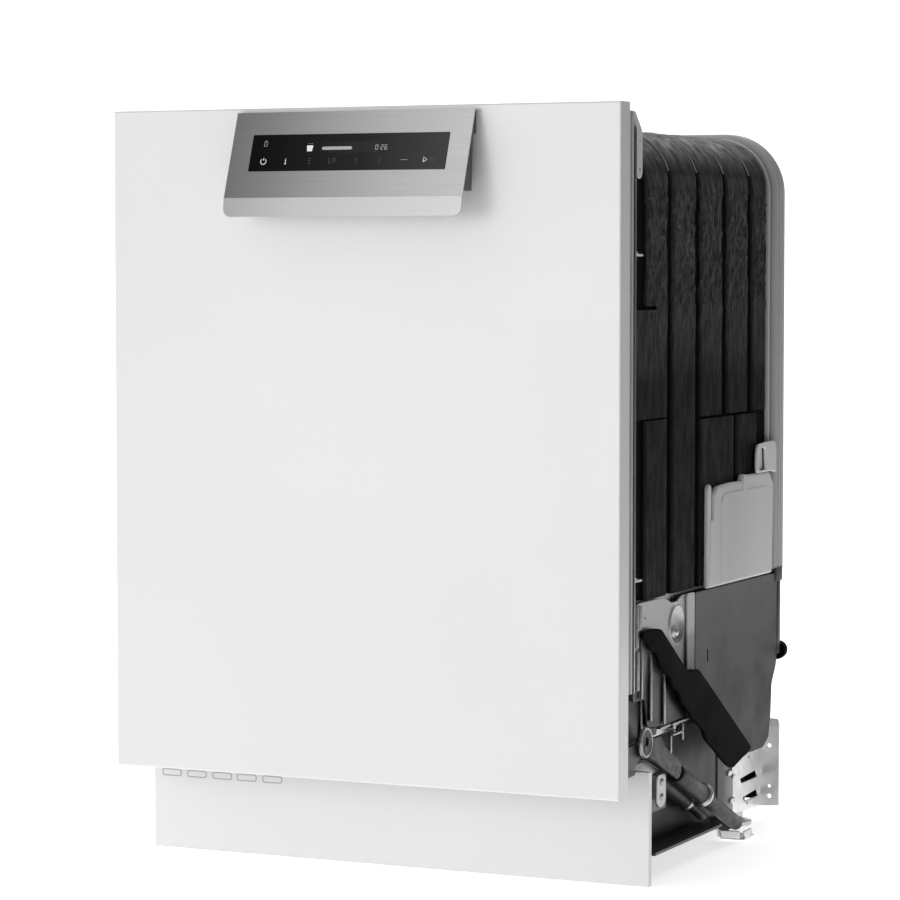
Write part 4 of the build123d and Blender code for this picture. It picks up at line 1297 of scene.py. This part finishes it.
KEYS_Y = -9.6  # height of the row of keys on the glass
bright_marks = [
    arc((-98.5, KEYS_Y), 3.2, 125, 415, 22),
    line((-98.5, 1.2), (-98.5, 3.8)),
    line((-72, -2.9), (-72, 1.6)),
    line((-73, -2.9), (-71, -2.9)),
    line((-73, 1.6), (-72, 1.6)),
    line((-72, 3.0), (-72, 3.3)),
    line((89, -2.6), (89, 2.6), (93.2, 0), (89, -2.6)),
]
time_marks = digit("0", 31.5, 2.2) + digit("2", 37.6, 2.2) + digit("6", 42.2, 2.2)
time_marks += [[(35.6, 3.6), (35.6, 3.9)], [(35.6, 6), (35.6, 6.3)]]
middle_marks = [
    arc((-98.6, 12.2), 1.5, 0, 180, 10),
    [(-100.4, 7.6), (-96.8, 7.6), (-96.8, 11.8), (-100.4, 11.8), (-100.4, 7.6)],
    [(-98.6, 9.2), (-98.6, 10.2)],
    line((62.8, 0), (70.6, 0)),
    [(-47.6, 9.8), (-46.2, 9.8)],
    [(-44.6, 9.8), (-43.0, 9.8)],
]
dim_marks = [
    line((-45.4, -2.8), (-42.4, -2.8)),
    line((-45.4, 0), (-42.4, 0)),
    line((-45.4, 2.8), (-42.4, 2.8)),
    line((-21.0, 2.8), (-21.0, -2.8), (-18.4, -2.8)),
    arc((-15, KEYS_Y + 0.9), 1.9, -60, 240, 12),
    line((-15, -2.8), (-15, -1.0)),
    line((12.4, 2.9), (9.6, 0), (12.4, -2.9)),
    line((36.8, 2.9), (39.6, 0), (36.8, -2.9)),
    line((97.6, -2.4), (97.6, 2.4)),
    line((100.6, -2.4), (100.6, 2.4)),
]
BAR = [(-30, 2.6), (3, 2.6), (4.6, 4.4), (3, 6.2), (-30, 6.2), (-31.6, 4.4)]
JUG = [(-48.4, 1.2), (-42.6, 1.2), (-41.8, 7.8), (-49.2, 7.8)]
MARKS = (  # name, strokes, filled marks, width of the strokes in mm, grey, glow
    ("bright", bright_marks, [JUG], 0.42, 0.78, 0.25),
    ("readout", time_marks, [soften(BAR, 1.2, 4)], 0.30, 0.42, 0.18),
    ("middle", middle_marks, [], 0.34, 0.30, 0.12),
    ("dim", dim_marks, [], 0.26, 0.10, 0.05),
)
for name, paths, filled, width, grey, glow in MARKS:
    marks = strokes(paths, width)
    if filled:
        marks = joined(marks, patches(filled))
    glowing = lit("mark_" + name, grey, glow)
    finish_piece(marks, "marks_" + name, "black_glass", body="door", material=glowing, smooth=False)

WINDOW = [(-50.5, -1.2), (35.5, -1.2), (35.5, 12), (-50.5, 12)]
window = patches([soften(WINDOW, 1.2, 4)])
window.transform(Matrix.Translation(face_out * -0.075 * MM))
# the readout window's grey is painted lighter towards the right, a painted reflection
WINDOW_PAINTED_REFLECTION = axis_grey("readout_window", "X", ((-0.05, 0.010), (0.035, 0.036)), 0.22, 0.0, 0.02, 0.06)
finish_piece(window, "readout_window", "black_glass", body="door", material=WINDOW_PAINTED_REFLECTION, smooth=False)


# ---- inside: racks, basket, spray arms ---------------------------------------------------
RACK_X = 0.2528
RACK_Y = (fit_y(82.5), fit_y(481.5))
LOWER_RACK_Z = (fit_z(214), fit_z(390))
UPPER_RACK_Z = (fit_z(472), fit_z(598))
ARM_CENTRE = fit_y(290)


def rack_hoops(low, high):
    """Closed wires that run round the rack at the rim, at mid height and near the floor."""
    corners = [(-RACK_X, RACK_Y[0]), (RACK_X, RACK_Y[0]), (RACK_X, RACK_Y[1]), (-RACK_X, RACK_Y[1])]
    levels = (high, low + (high - low) * 0.62, low + (high - low) * 0.26)
    return [[(x, y, z) for x, y in soften(corners, 0.022, 7)] for z in levels]


def rack_ribs(low, high):
    """U-shaped wires both ways: up one wall, across the floor and up the other wall."""
    paths = []
    along, sideways = [
        soften([(start, high), (start, low), (end, low), (end, high)], 0.014, 6, closed=False)
        for start, end in (RACK_Y, (-RACK_X, RACK_X))
    ]
    for k in range(15):
        paths.append([(-0.224 + 0.032 * k, y, z) for y, z in along])
    for k in range(13):
        y = RACK_Y[0] + 0.026 + (RACK_Y[1] - RACK_Y[0] - 0.052) * k / 12
        paths.append([(x, y, z + 2.6 * MM) for x, z in sideways])
    return paths


def rack_tines(low, rows, tall, lean):
    """Hairpin tines in rows on their own carrier wire; x, first y and last y of each row."""
    paths = []
    foot = low + 4 * MM
    for x, first, last in rows:
        paths.append([(x, fit_y(first), foot), (x, fit_y(last), foot)])
        count = int((last - first) / 26)
        for k in range(count + 1):
            y = fit_y(first + (last - first) * k / count)
            left, right = y - 3 * MM, y + 3 * MM
            hairpin = [(left, foot), (left, low + tall), (right, low + tall), (right, foot)]
            hairpin = soften(hairpin, 2.8 * MM, 4, closed=False)
            paths.append([(x + lean * (z - low), y, z) for y, z in hairpin])
    return paths


def rack_mesh(low, high, rows, tall, lean):
    """A whole rack from three gauges of coated wire."""
    rims = wire_mesh(rack_hoops(low, high), 2.0 * MM, closed=True, sides=3)
    ribs = wire_mesh(rack_ribs(low, high), 1.5 * MM, sides=2)
    tines = wire_mesh(rack_tines(low, rows, tall, lean), 1.4 * MM, sides=2)
    return joined(rims, ribs, tines)


LOWER_ROWS = (
    *[(x, 110, 456) for x in (-0.196, -0.124, -0.052, 0.020)],
    *[(x, 206, 456) for x in (0.116, 0.188)],
)
UPPER_ROWS = [(x, 110, 456) for x in (-0.150, -0.070, 0.070, 0.150)]
for name, (low, high), rows, tall, lean in (
    ("lower_rack", LOWER_RACK_Z, LOWER_ROWS, 0.074, 0.16),
    ("upper_rack", UPPER_RACK_Z, UPPER_ROWS, 0.052, -0.22),
):
    wires = rack_mesh(low, high, rows, tall, lean)
    finish_piece(wires, name + "_wires", "coated_wire", body=name, replaces=name)


def build_cup_shelves(bm):
    """Shelves along both walls of the upper rack, each a slatted plastic leaf with an eased rim."""
    for side in (1, -1):
        for y0, y1 in ((112, 276), (292, 456)):
            for k in range(5):
                inner = side * (0.172 + 0.017 * k)
                fit_box(bm, sorted((inner, inner + side * 5 * MM)), (y0, y1), (548, 552), 1.2)
            for y in (y0, (y0 + y1) / 2, y1 - 6):
                fit_box(bm, sorted((side * 0.172, side * 0.2495)), (y, y + 6), (547, 551), 1.2)


finish_piece(build_cup_shelves, "cup_shelves", "light_grey_plastic", body="upper_rack")


def build_rack_handles(bm, z):
    """A moulded grip clipped over the front rim."""
    fit_box(bm, (-0.105, 0.105), (74, 80.2), (z - 21, z + 1.5), 2.8, 4)
    fit_box(bm, (-0.088, 0.088), (70, 78), (z - 4, z + 1), 1.9, 3)
    for x in (-0.096, 0.096):
        button = [(0, -2.4), (4.5, -2.4), (5, 0), (5, 2)]
        turned(bm, button, (x, fit_y(73.6), fit_z(z - 11)), BACKWARD, 24)


for body, z in (("lower_rack", 390), ("upper_rack", 598)):
    grip = bm_mesh(lambda bm, z=z: build_rack_handles(bm, z))
    finish_piece(grip, body + "_handle", "light_grey_plastic", body=body)


BASKET = ((0.0705, fit_y(98.5), fit_z(216.5)), (0.2095, fit_y(177.5), fit_z(339)))


def build_basket(bm):
    """Slatted walls between three bands, a slatted floor, two cross walls and a carrying arch."""
    (x0, y0, z0), (x1, y1, z1) = BASKET
    wall = 2.2 * MM
    for low, high in ((z0, z0 + 5 * MM), (z0 + 58 * MM, z0 + 63 * MM), (z1 - 7 * MM, z1)):
        for corner, opposite in (
            ((x0, y0), (x1, y0 + wall)),
            ((x0, y1 - wall), (x1, y1)),
            ((x0, y0), (x0 + wall, y1)),
            ((x1 - wall, y0), (x1, y1)),
        ):
            box_bm(bm, (*corner, low), (*opposite, high), 0.6 * MM)
    low, high = z0 + 1 * MM, z1 - 2 * MM
    inset, slat = 0.3 * MM, 2.4 * MM
    for k in range(17):
        x = x0 + 3 * MM + (x1 - x0 - 8.4 * MM) * k / 16
        for y in (y0, y1 - wall, (y0 + y1) / 2):
            box_bm(bm, (x, y + inset, low), (x + slat, y + wall - inset, high), 0.4 * MM, 1)
        floor = (z0 + 0.5 * MM, z0 + 2.5 * MM)
        box_bm(bm, (x, y0 + 1 * MM, floor[0]), (x + slat, y1 - 1 * MM, floor[1]), 0.4 * MM, 1)
    for k in range(9):
        y = y0 + 3 * MM + (y1 - y0 - 8.4 * MM) * k / 8
        for x in (x0, x1 - wall, (x0 * 2 + x1) / 3, (x0 + x1 * 2) / 3):
            box_bm(bm, (x + inset, y, low), (x + wall - inset, y + slat, high), 0.4 * MM, 1)
    middle = (y0 + y1) / 2
    for x in (x0 + 1 * MM, x1 - 7 * MM):
        post_low, post_high = (x, middle - 4 * MM, z0 + 60 * MM), (
            x + 6 * MM, middle + 4 * MM, z1 + 30 * MM
        )
        box_bm(bm, post_low, post_high, 1.4 * MM, 3)
    arch_low, arch_high = (x0 + 1 * MM, middle - 6 * MM), (x1 - 1 * MM, middle + 6 * MM)
    box_bm(bm, (*arch_low, z1 + 24 * MM), (*arch_high, z1 + 32 * MM), 2.6 * MM, 4)


finish_piece(
    build_basket, "cutlery_lattice", "light_grey_plastic", body="lower_rack", replaces="cutlery_basket"
)

ARM_STEPS, ARM_AROUND = 44, 20  # rings along a spray arm and points round it


def signed_power(value, power):
    """Raises the size of a value to a power and keeps its sign."""
    return abs(value) ** power * (1 if value > 0 else -1)


def build_arm(bm, reach, wide, low, tall):
    """Two tapered blades with rounded edges; the tips turn slightly to one side."""
    rings = []
    for k in range(ARM_STEPS + 1):
        t = 2 * k / ARM_STEPS - 1
        away = abs(t)
        rounding = math.sqrt(max(0.0, 1 - max(0.0, (away - 0.93) / 0.07) ** 2))
        half = (wide * (1 - away) + 12.5 * MM * away) * rounding + 0.2 * MM
        shift = 4 * MM * away * away * (1 if t > 0 else -1)
        rise = tall * (1 - 0.22 * away) * (1 if away < 0.97 else 0.7)
        ring = []
        for j in range(ARM_AROUND):
            angle = 2 * math.pi * j / ARM_AROUND
            sideways = half * signed_power(math.cos(angle), 0.7)
            upward = rise * signed_power(math.sin(angle), 0.6)
            point = (t * reach, ARM_CENTRE + shift + sideways, low + tall + upward)
            ring.append(bm.verts.new(point))
        rings.append(ring)
    skin_rows(bm, rings, closed=True)
    bm.faces.new(rings[0])
    bm.faces.new(rings[-1])


def build_jets(bm, reach, level):
    """Slotted nozzles standing just proud of the blades."""
    for spot, shift in JETS:
        for sign in (1, -1):
            x, y = sign * spot * reach, ARM_CENTRE + sign * shift * MM
            for wide, deep, below, above, bevel, segments in (
                (5, 2.2, 1.2, 0.7, 0.9, 3),
                (3, 0.5, 0, 0.9, 0.3, 1),
            ):
                low = (x - wide * MM, y - deep * MM, level - below * MM)
                high = (x + wide * MM, y + deep * MM, level + above * MM)
                box_bm(bm, low, high, bevel * MM, segments)


JETS = (  # share of the arm's reach, shift sideways in mm
    (0.30, 6), (0.44, -5), (0.57, 5), (0.69, -2), (0.80, 4), (0.90, 1),
)
LOWER_HUB = [
    (6.4, 0),
    (30, 0),
    (31, 2),
    (31, 9),
    (27, 12.6),
    (16, 13.6),
    (14, 15),
    (13, 22),
    (10, 24.6),
    (0, 25),
]
UPPER_HUB = [(10.4, 0.2), (24, 0.2), (25, 2), (25, 8), (22, 11.6), (13, 12.2), (5.6, 12.2)]


def finish_spray_arm(name, reach, wide, base, hub):
    """The blades, hub and nozzles of one spray arm, above a height in mm."""
    grey = "light_grey_plastic"
    blades = bm_mesh(lambda bm: build_arm(bm, reach, wide, fit_z(base) + 0.2 * MM, 5.6 * MM))
    finish_piece(blades, name + "_blades", grey, body=name, replaces=name)
    centre = (0, ARM_CENTRE, fit_z(base))
    finish_piece(lambda bm: turned(bm, hub, centre, UPWARD, 44), name + "_hub", grey, body=name)
    jets = bm_mesh(lambda bm: build_jets(bm, reach, fit_z(base + 11.2)))
    finish_piece(jets, name + "_jets", "black_plastic", body=name)


finish_spray_arm("lower_spray_arm", 0.1955, 25 * MM, 182, LOWER_HUB)
finish_spray_arm("upper_spray_arm", 0.1795, 21 * MM, 442, UPPER_HUB)


# ---- door liner, dispenser, filter, feet, toe kick ---------------------------------------
LINER_Y = 50  # the liner's face, mm behind the door's front
VENT_Y = 82.7  # the toe kick's face
BACK_Y = 519.8  # the tub's back


def rounded(x0, x1, z0, z1, radius):
    """A rounded rectangle, x and radius in metres and z in mm above the floor, as one loop."""
    z0, z1 = fit_z(z0), fit_z(z1)
    return [soften([(x0, z0), (x1, z0), (x1, z1), (x0, z1)], radius, 8)]


def bead(x0, x1, z0, z1, radius, band):
    """Outer and inner edge of a raised band, measured as in rounded."""
    inset = band / MM
    inner = rounded(x0 + band, x1 - band, z0 + inset, z1 - inset, max(radius - band, 1.5 * MM))
    return rounded(x0, x1, z0, z1, radius) + inner


def liner_sheet(loops, thick, bevel, start=LINER_Y):
    """A pressed shape on a face that looks backward; start, thickness and bevel in mm."""
    mesh = outline_mesh(loops, thick * MM, bevel * MM)
    middle = fit_y(start) + thick * MM / 2
    mesh.transform(Matrix(((1, 0, 0, 0), (0, 0, 1, middle), (0, 1, 0, 0), (0, 0, 0, 1))))
    mesh.flip_normals()
    return mesh


liner_beads = joined(
    liner_sheet(bead(-0.222, 0.222, 196, 404, 0.030, 0.012), 3, 1.3),
    liner_sheet(bead(-0.222, 0.222, 664, 752, 0.026, 0.012), 3, 1.3),
    liner_sheet(rounded(-0.150, 0.150, 250, 262, 0.0059), 2.4, 1.1),
    liner_sheet(rounded(-0.150, 0.150, 338, 350, 0.0059), 2.4, 1.1),
    liner_sheet(rounded(-0.222, -0.208, 436, 632, 0.0069), 2.4, 1.1),
    liner_sheet(rounded(0.208, 0.222, 436, 632, 0.0069), 2.4, 1.1),
)
finish_piece(liner_beads, "liner_pressings", "tub_stainless", body="door")

(disp_x0, _, disp_z0), (disp_x1, _, disp_z1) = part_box("dispenser_body")
disp_low, disp_high = (disp_z0 - FLOOR_Z) / MM - 3, (disp_z1 - FLOOR_Z) / MM + 3
dispenser_rim = joined(
    liner_sheet(bead(disp_x0 - 3 * MM, disp_x1 + 3 * MM, disp_low, disp_high, 0.010, 0.007), 0.7, 0.3),
    liner_sheet(bead(0.018, 0.074, 458, 514, 0.016, 0.003), 0.7, 0.3),
    liner_sheet(rounded(0.022, 0.070, 440, 448, 0.003), 0.7, 0.3),
    liner_sheet(rounded(0.022, 0.070, 524, 531, 0.003), 0.7, 0.3),
)
finish_piece(dispenser_rim, "dispenser_rim", "light_grey_plastic", body="door")


def build_lid(bm):
    """The sliding lid of the detergent cup with an eased rim, a thumb ridge and fine grip lines."""
    low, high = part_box("dispenser_lid")
    face = fit_y(LINER_Y + 3.4)
    box_bm(bm, low, (high[0], face, high[2]), 1.1 * MM, 4)
    box_bm(bm, (-0.056, face - 1 * MM, fit_z(511)), (-0.026, high[1], fit_z(519)), 1.2 * MM, 4)
    for k in range(5):
        z = fit_z(450 + 6 * k)
        box_bm(bm, (-0.056, face - 0.6 * MM, z), (-0.026, face + 0.7 * MM, z + 1.6 * MM), 0.5 * MM)


finish_piece(
    build_lid, "lid_shell", "light_grey_plastic", body="dispenser_lid", replaces="dispenser_lid"
)


def build_rinse_cap(bm):
    """A turned cap with a raised grip bar and an index mark."""
    centre = (0.046, fit_y(LINER_Y), fit_z(486))
    profile = [
        (0, -3.6), (16.6, -3.6), (16.9, -3), (16.9, 2.8), (16.2, 3.8), (12.5, 4), (11.6, 3.2), (0, 3.2)
    ]
    turned(bm, profile, centre, BACKWARD, 48)
    fit_box(bm, (0.043, 0.049), (LINER_Y + 2, LINER_Y + 9.8), (472.5, 499.5), 1.6, 4)
    fit_box(bm, (0.0455, 0.0465), (LINER_Y + 3, LINER_Y + 4.4), (500, 502), 0.3)


finish_piece(
    build_rinse_cap, "rinse_cap_turned", "black_plastic", body="rinse_cap", replaces="rinse_cap"
)


def build_filter(bm):
    """Concentric pressed rings round the filter cup."""
    origin = (0, ARM_CENTRE, fit_z(156.2))
    for radius in (46, 58, 70, 82, 92):
        ring = [(-2.4, 0.1), (-1.6, 1.3), (0, 1.8), (1.6, 1.3), (2.4, 0.1)]
        turned(bm, [(radius + out, rise) for out, rise in ring], origin, UPWARD, 64)


def build_filter_grip(bm):
    """The upright ribs of the twist-out filter, its rim and the grip across it."""
    centre = (0, fit_y(246), fit_z(138))
    ring, rib = 25.2 * MM, 0.9 * MM
    for k in range(28):
        angle = 2 * math.pi * k / 28
        x, y = ring * math.cos(angle), centre[1] + ring * math.sin(angle)
        box_bm(bm, (x - rib, y - rib, fit_z(158)), (x + rib, y + rib, fit_z(176)), 0.4 * MM, 1)
    rim = [(22.6, 38), (22.6, 40.6), (24, 41.6), (26.2, 41.6), (27, 40.4), (27, 38), (22.6, 38)]
    turned(bm, rim, centre, UPWARD, 48)
    fit_box(bm, (-0.0225, 0.0225), (244, 248), (163, 171), 1.6, 4)


finish_piece(build_filter, "filter_rings", "tub_stainless")
finish_piece(build_filter_grip, "filter_grip", "light_grey_plastic", body="filter_cup")

FOOT_PAD = [(0, 0), (19.5, 0), (21, 1.4), (21, 5.4), (19.6, 7), (12, 8.6), (9, 9), (9, 10)]
FOOT_NUT = [(0, 10), (11.4, 10), (12.4, 11), (12.4, 17.5), (11.4, 18.5), (0, 18.5)]


THREAD_PITCH = 1.75


def build_foot(bm, name):
    """Moulded pad, hexagon for the spanner and a threaded stud."""
    low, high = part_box(name)
    middle = ((low[0] + high[0]) / 2, (low[1] + high[1]) / 2, low[2])
    turned(bm, FOOT_PAD, middle, UPWARD, 48)
    turned(bm, FOOT_NUT, middle, UPWARD, 6)
    top = (high[2] - low[2]) / MM
    thread = [(0, 18.4)]
    for k in range(int((top - 19) / THREAD_PITCH)):
        thread += [(4.95, 18.6 + THREAD_PITCH * k), (4.1, 19.4 + THREAD_PITCH * k)]
    thread += [(4.1, top - 0.5), (3.4, top), (0, top)]
    turned(bm, thread, middle, UPWARD, 24)


for name in ("foot_front_left", "foot_front_right", "foot_rear_left", "foot_rear_right"):
    foot = bm_mesh(lambda bm, name=name: build_foot(bm, name))
    finish_piece(
        foot, name + "_turned", "machined_steel", body=name, replaces=name, material=BRIGHT_STEEL,
        sharp=30,
    )

VENTS = (-0.276, -0.244, -0.212, -0.181, -0.149)  # flattened ovals pressed into the toe kick
vent_rings = joined(
    *[
        liner_sheet(bead(x - 0.0125, x + 0.0125, 80.4, 88.6, 0.004, 0.0011), 0.35, 0.1, VENT_Y)
        for x in VENTS
    ]
)
vent_pads = joined(
    *[
        liner_sheet(rounded(x - 0.0110, x + 0.0110, 82, 87, 0.0024), 0.25, 0.1, VENT_Y + 0.1)
        for x in VENTS
    ]
)
# the grey rings round the pressed vents are painted shade along the pressings' edges, a little lighter
# towards the right
VENT_PAINTED_SHADE = axis_grey("vent_edge", "X", ((-0.3, 0.40), (-0.12, 0.44)), 0.5, 0.0)
finish_piece(vent_rings, "kick_vent_rings", "white_enamel", material=VENT_PAINTED_SHADE)
finish_piece(vent_pads, "kick_vent_pads", "white_enamel")

# ---- back --------------------------------------------------------------------------------
BACK_RIBS = (-0.150, -0.050, 0.050, 0.150)
BACK_SCREWS = (
    (-0.262, 190), (0.262, 236), (-0.262, 420), (0.262, 420),
    (-0.262, 640), (0.262, 640), (-0.12, 772), (0.12, 772),
)
back_ribs = joined(
    *[liner_sheet(rounded(x - 0.018, x + 0.018, 326, 704, 0.016), 5, 2.3, BACK_Y) for x in BACK_RIBS],
    liner_sheet(bead(-0.236, 0.236, 296, 738, 0.040, 0.010), 2.6, 1.2, BACK_Y),
)
finish_piece(back_ribs, "back_pressings", "tub_stainless")


def build_back_screws(bm):
    """Pan-head screws with a dimple, round the edge of the back."""
    head = [(0, 1.2), (1.2, 1.6), (2.6, 2.4), (4.2, 1.9), (5.0, 0.6), (5.0, 0)]
    for x, z in BACK_SCREWS:
        turned(bm, head, (x, fit_y(520), fit_z(z)), BACKWARD, 24)


finish_piece(build_back_screws, "back_screws", "machined_steel", material=BRIGHT_STEEL)


def fitting(bm, name, collar, barbs, start):
    """A turned hose fitting on the axis of its CAD node: a collar, then rings up to the tip."""
    low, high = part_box(name)
    centre = ((low[0] + high[0]) / 2, fit_y(start), (low[2] + high[2]) / 2)
    reach = (high[1] - centre[1]) / MM
    profile = [(0, 0), (collar, 0), (collar, 2.2), (barbs, 3)]
    steps = int((reach - 3.6) / 2.2)
    for k in range(steps):
        profile += [(barbs, 3.2 + 2.2 * k), (barbs - 1.1, 5.0 + 2.2 * k)]
    profile += [(barbs - 1.2, reach), (barbs - 3, reach), (barbs - 3, reach - 6), (0, reach - 6)]
    turned(bm, profile, centre, BACKWARD, 36)


def build_inlet(bm):
    """The inlet valve's body, its threaded fitting and two screws."""
    low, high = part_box("inlet_valve")
    box_bm(bm, (low[0], fit_y(520.4), low[2]), (high[0], fit_y(534), high[2]), 3 * MM, 4)
    fitting(bm, "inlet_valve", 17, 13.2, 533.5)
    head = [(0, 1.6), (2.4, 1.6), (3.4, 0.8), (3.4, 0)]
    for x in (low[0] + 6 * MM, high[0] - 6 * MM):
        turned(bm, head, (x, fit_y(534), low[2] + 6 * MM), BACKWARD, 20)


drain = bm_mesh(lambda bm: fitting(bm, "drain_spigot", 17, 10, 522))
finish_piece(build_inlet, "inlet_fitting", "light_grey_plastic", replaces="inlet_valve")
finish_piece(drain, "drain_fitting", "black_plastic", replaces="drain_spigot")


# ---- stage and light ---------------------------------------------------------------------
def add_stage():
    """A pale floor that curves up into a pale wall far behind."""
    surface = Shader("studio", Roughness=0.85, Emission_Color=(1, 1, 1, 1), Emission_Strength=0.66)
    surface.colour(surface.ramp(surface.noise(1.2, detail=2), (0.90, 0.90, 0.90), (0.93, 0.93, 0.93)))
    bm = bmesh.new()
    rows = [(-9, 0, 1.3), (1.5, 0, 1.3), (4, 0, -0.4), (5, 0, -0.7)]
    rows += [
        (5 + 2 * math.sin(a), 2 - 2 * math.cos(a), -0.8)
        for a in [math.radians(d) for d in range(10, 91, 10)]
    ]
    rows += [(7, 9, -0.8)]
    before = None
    for y, z, right in rows:
        row = [bm.verts.new((x, y, FLOOR_Z + z - 0.0006)) for x in (-14, right)]
        if before:
            bm.faces.new((before[0], before[1], row[1], row[0]))
        before = row
    mesh = bpy.data.meshes.new("studio")
    bm.to_mesh(mesh)
    for face in mesh.polygons:
        face.use_smooth = True
    stage = bpy.data.objects.new("studio", mesh)
    stage.data.materials.append(surface.material)
    bpy.context.collection.objects.link(stage)


def add_area(name, place, target, size, power):
    """A rectangular soft box at place that faces target."""
    data = bpy.data.lights.new(name, "AREA")
    data.shape = "RECTANGLE"
    data.size, data.size_y = size
    data.energy = power
    light = bpy.data.objects.new(name, data)
    light.location = place
    light.rotation_euler = (Vector(target) - Vector(place)).to_track_quat("-Z", "Y").to_euler()
    bpy.context.collection.objects.link(light)


def add_lights():
    """A soft surround that is brightest at the left and dim at the right, and two soft boxes."""
    world = bpy.data.worlds.new("studio")
    world.use_nodes = True
    tree = world.node_tree
    place = tree.nodes.new("ShaderNodeTexCoord")
    parts = tree.nodes.new("ShaderNodeSeparateXYZ")
    ramp = tree.nodes.new("ShaderNodeMapRange")
    tree.links.new(place.outputs["Generated"], parts.inputs[0])
    tree.links.new(parts.outputs["X"], ramp.inputs["Value"])
    for key, value in (("From Min", -0.9), ("From Max", 0.6), ("To Min", 1.0), ("To Max", 0.16)):
        ramp.inputs[key].default_value = value
    tree.links.new(ramp.outputs[0], tree.nodes["Background"].inputs["Strength"])
    tree.nodes["Background"].inputs["Color"].default_value = (1.0, 1.0, 1.0, 1)
    bpy.context.scene.world = world
    middle = (0, 0, 0.45)
    add_area("key", (-1.3, -4.6, 1.1), middle, (2.2, 2.2), 36)
    add_area("back", (0.5, 3.0, 2.6), middle, (2.5, 1.5), 30)


add_stage()
add_lights()
bpy.context.scene.view_settings.view_transform = "Standard"
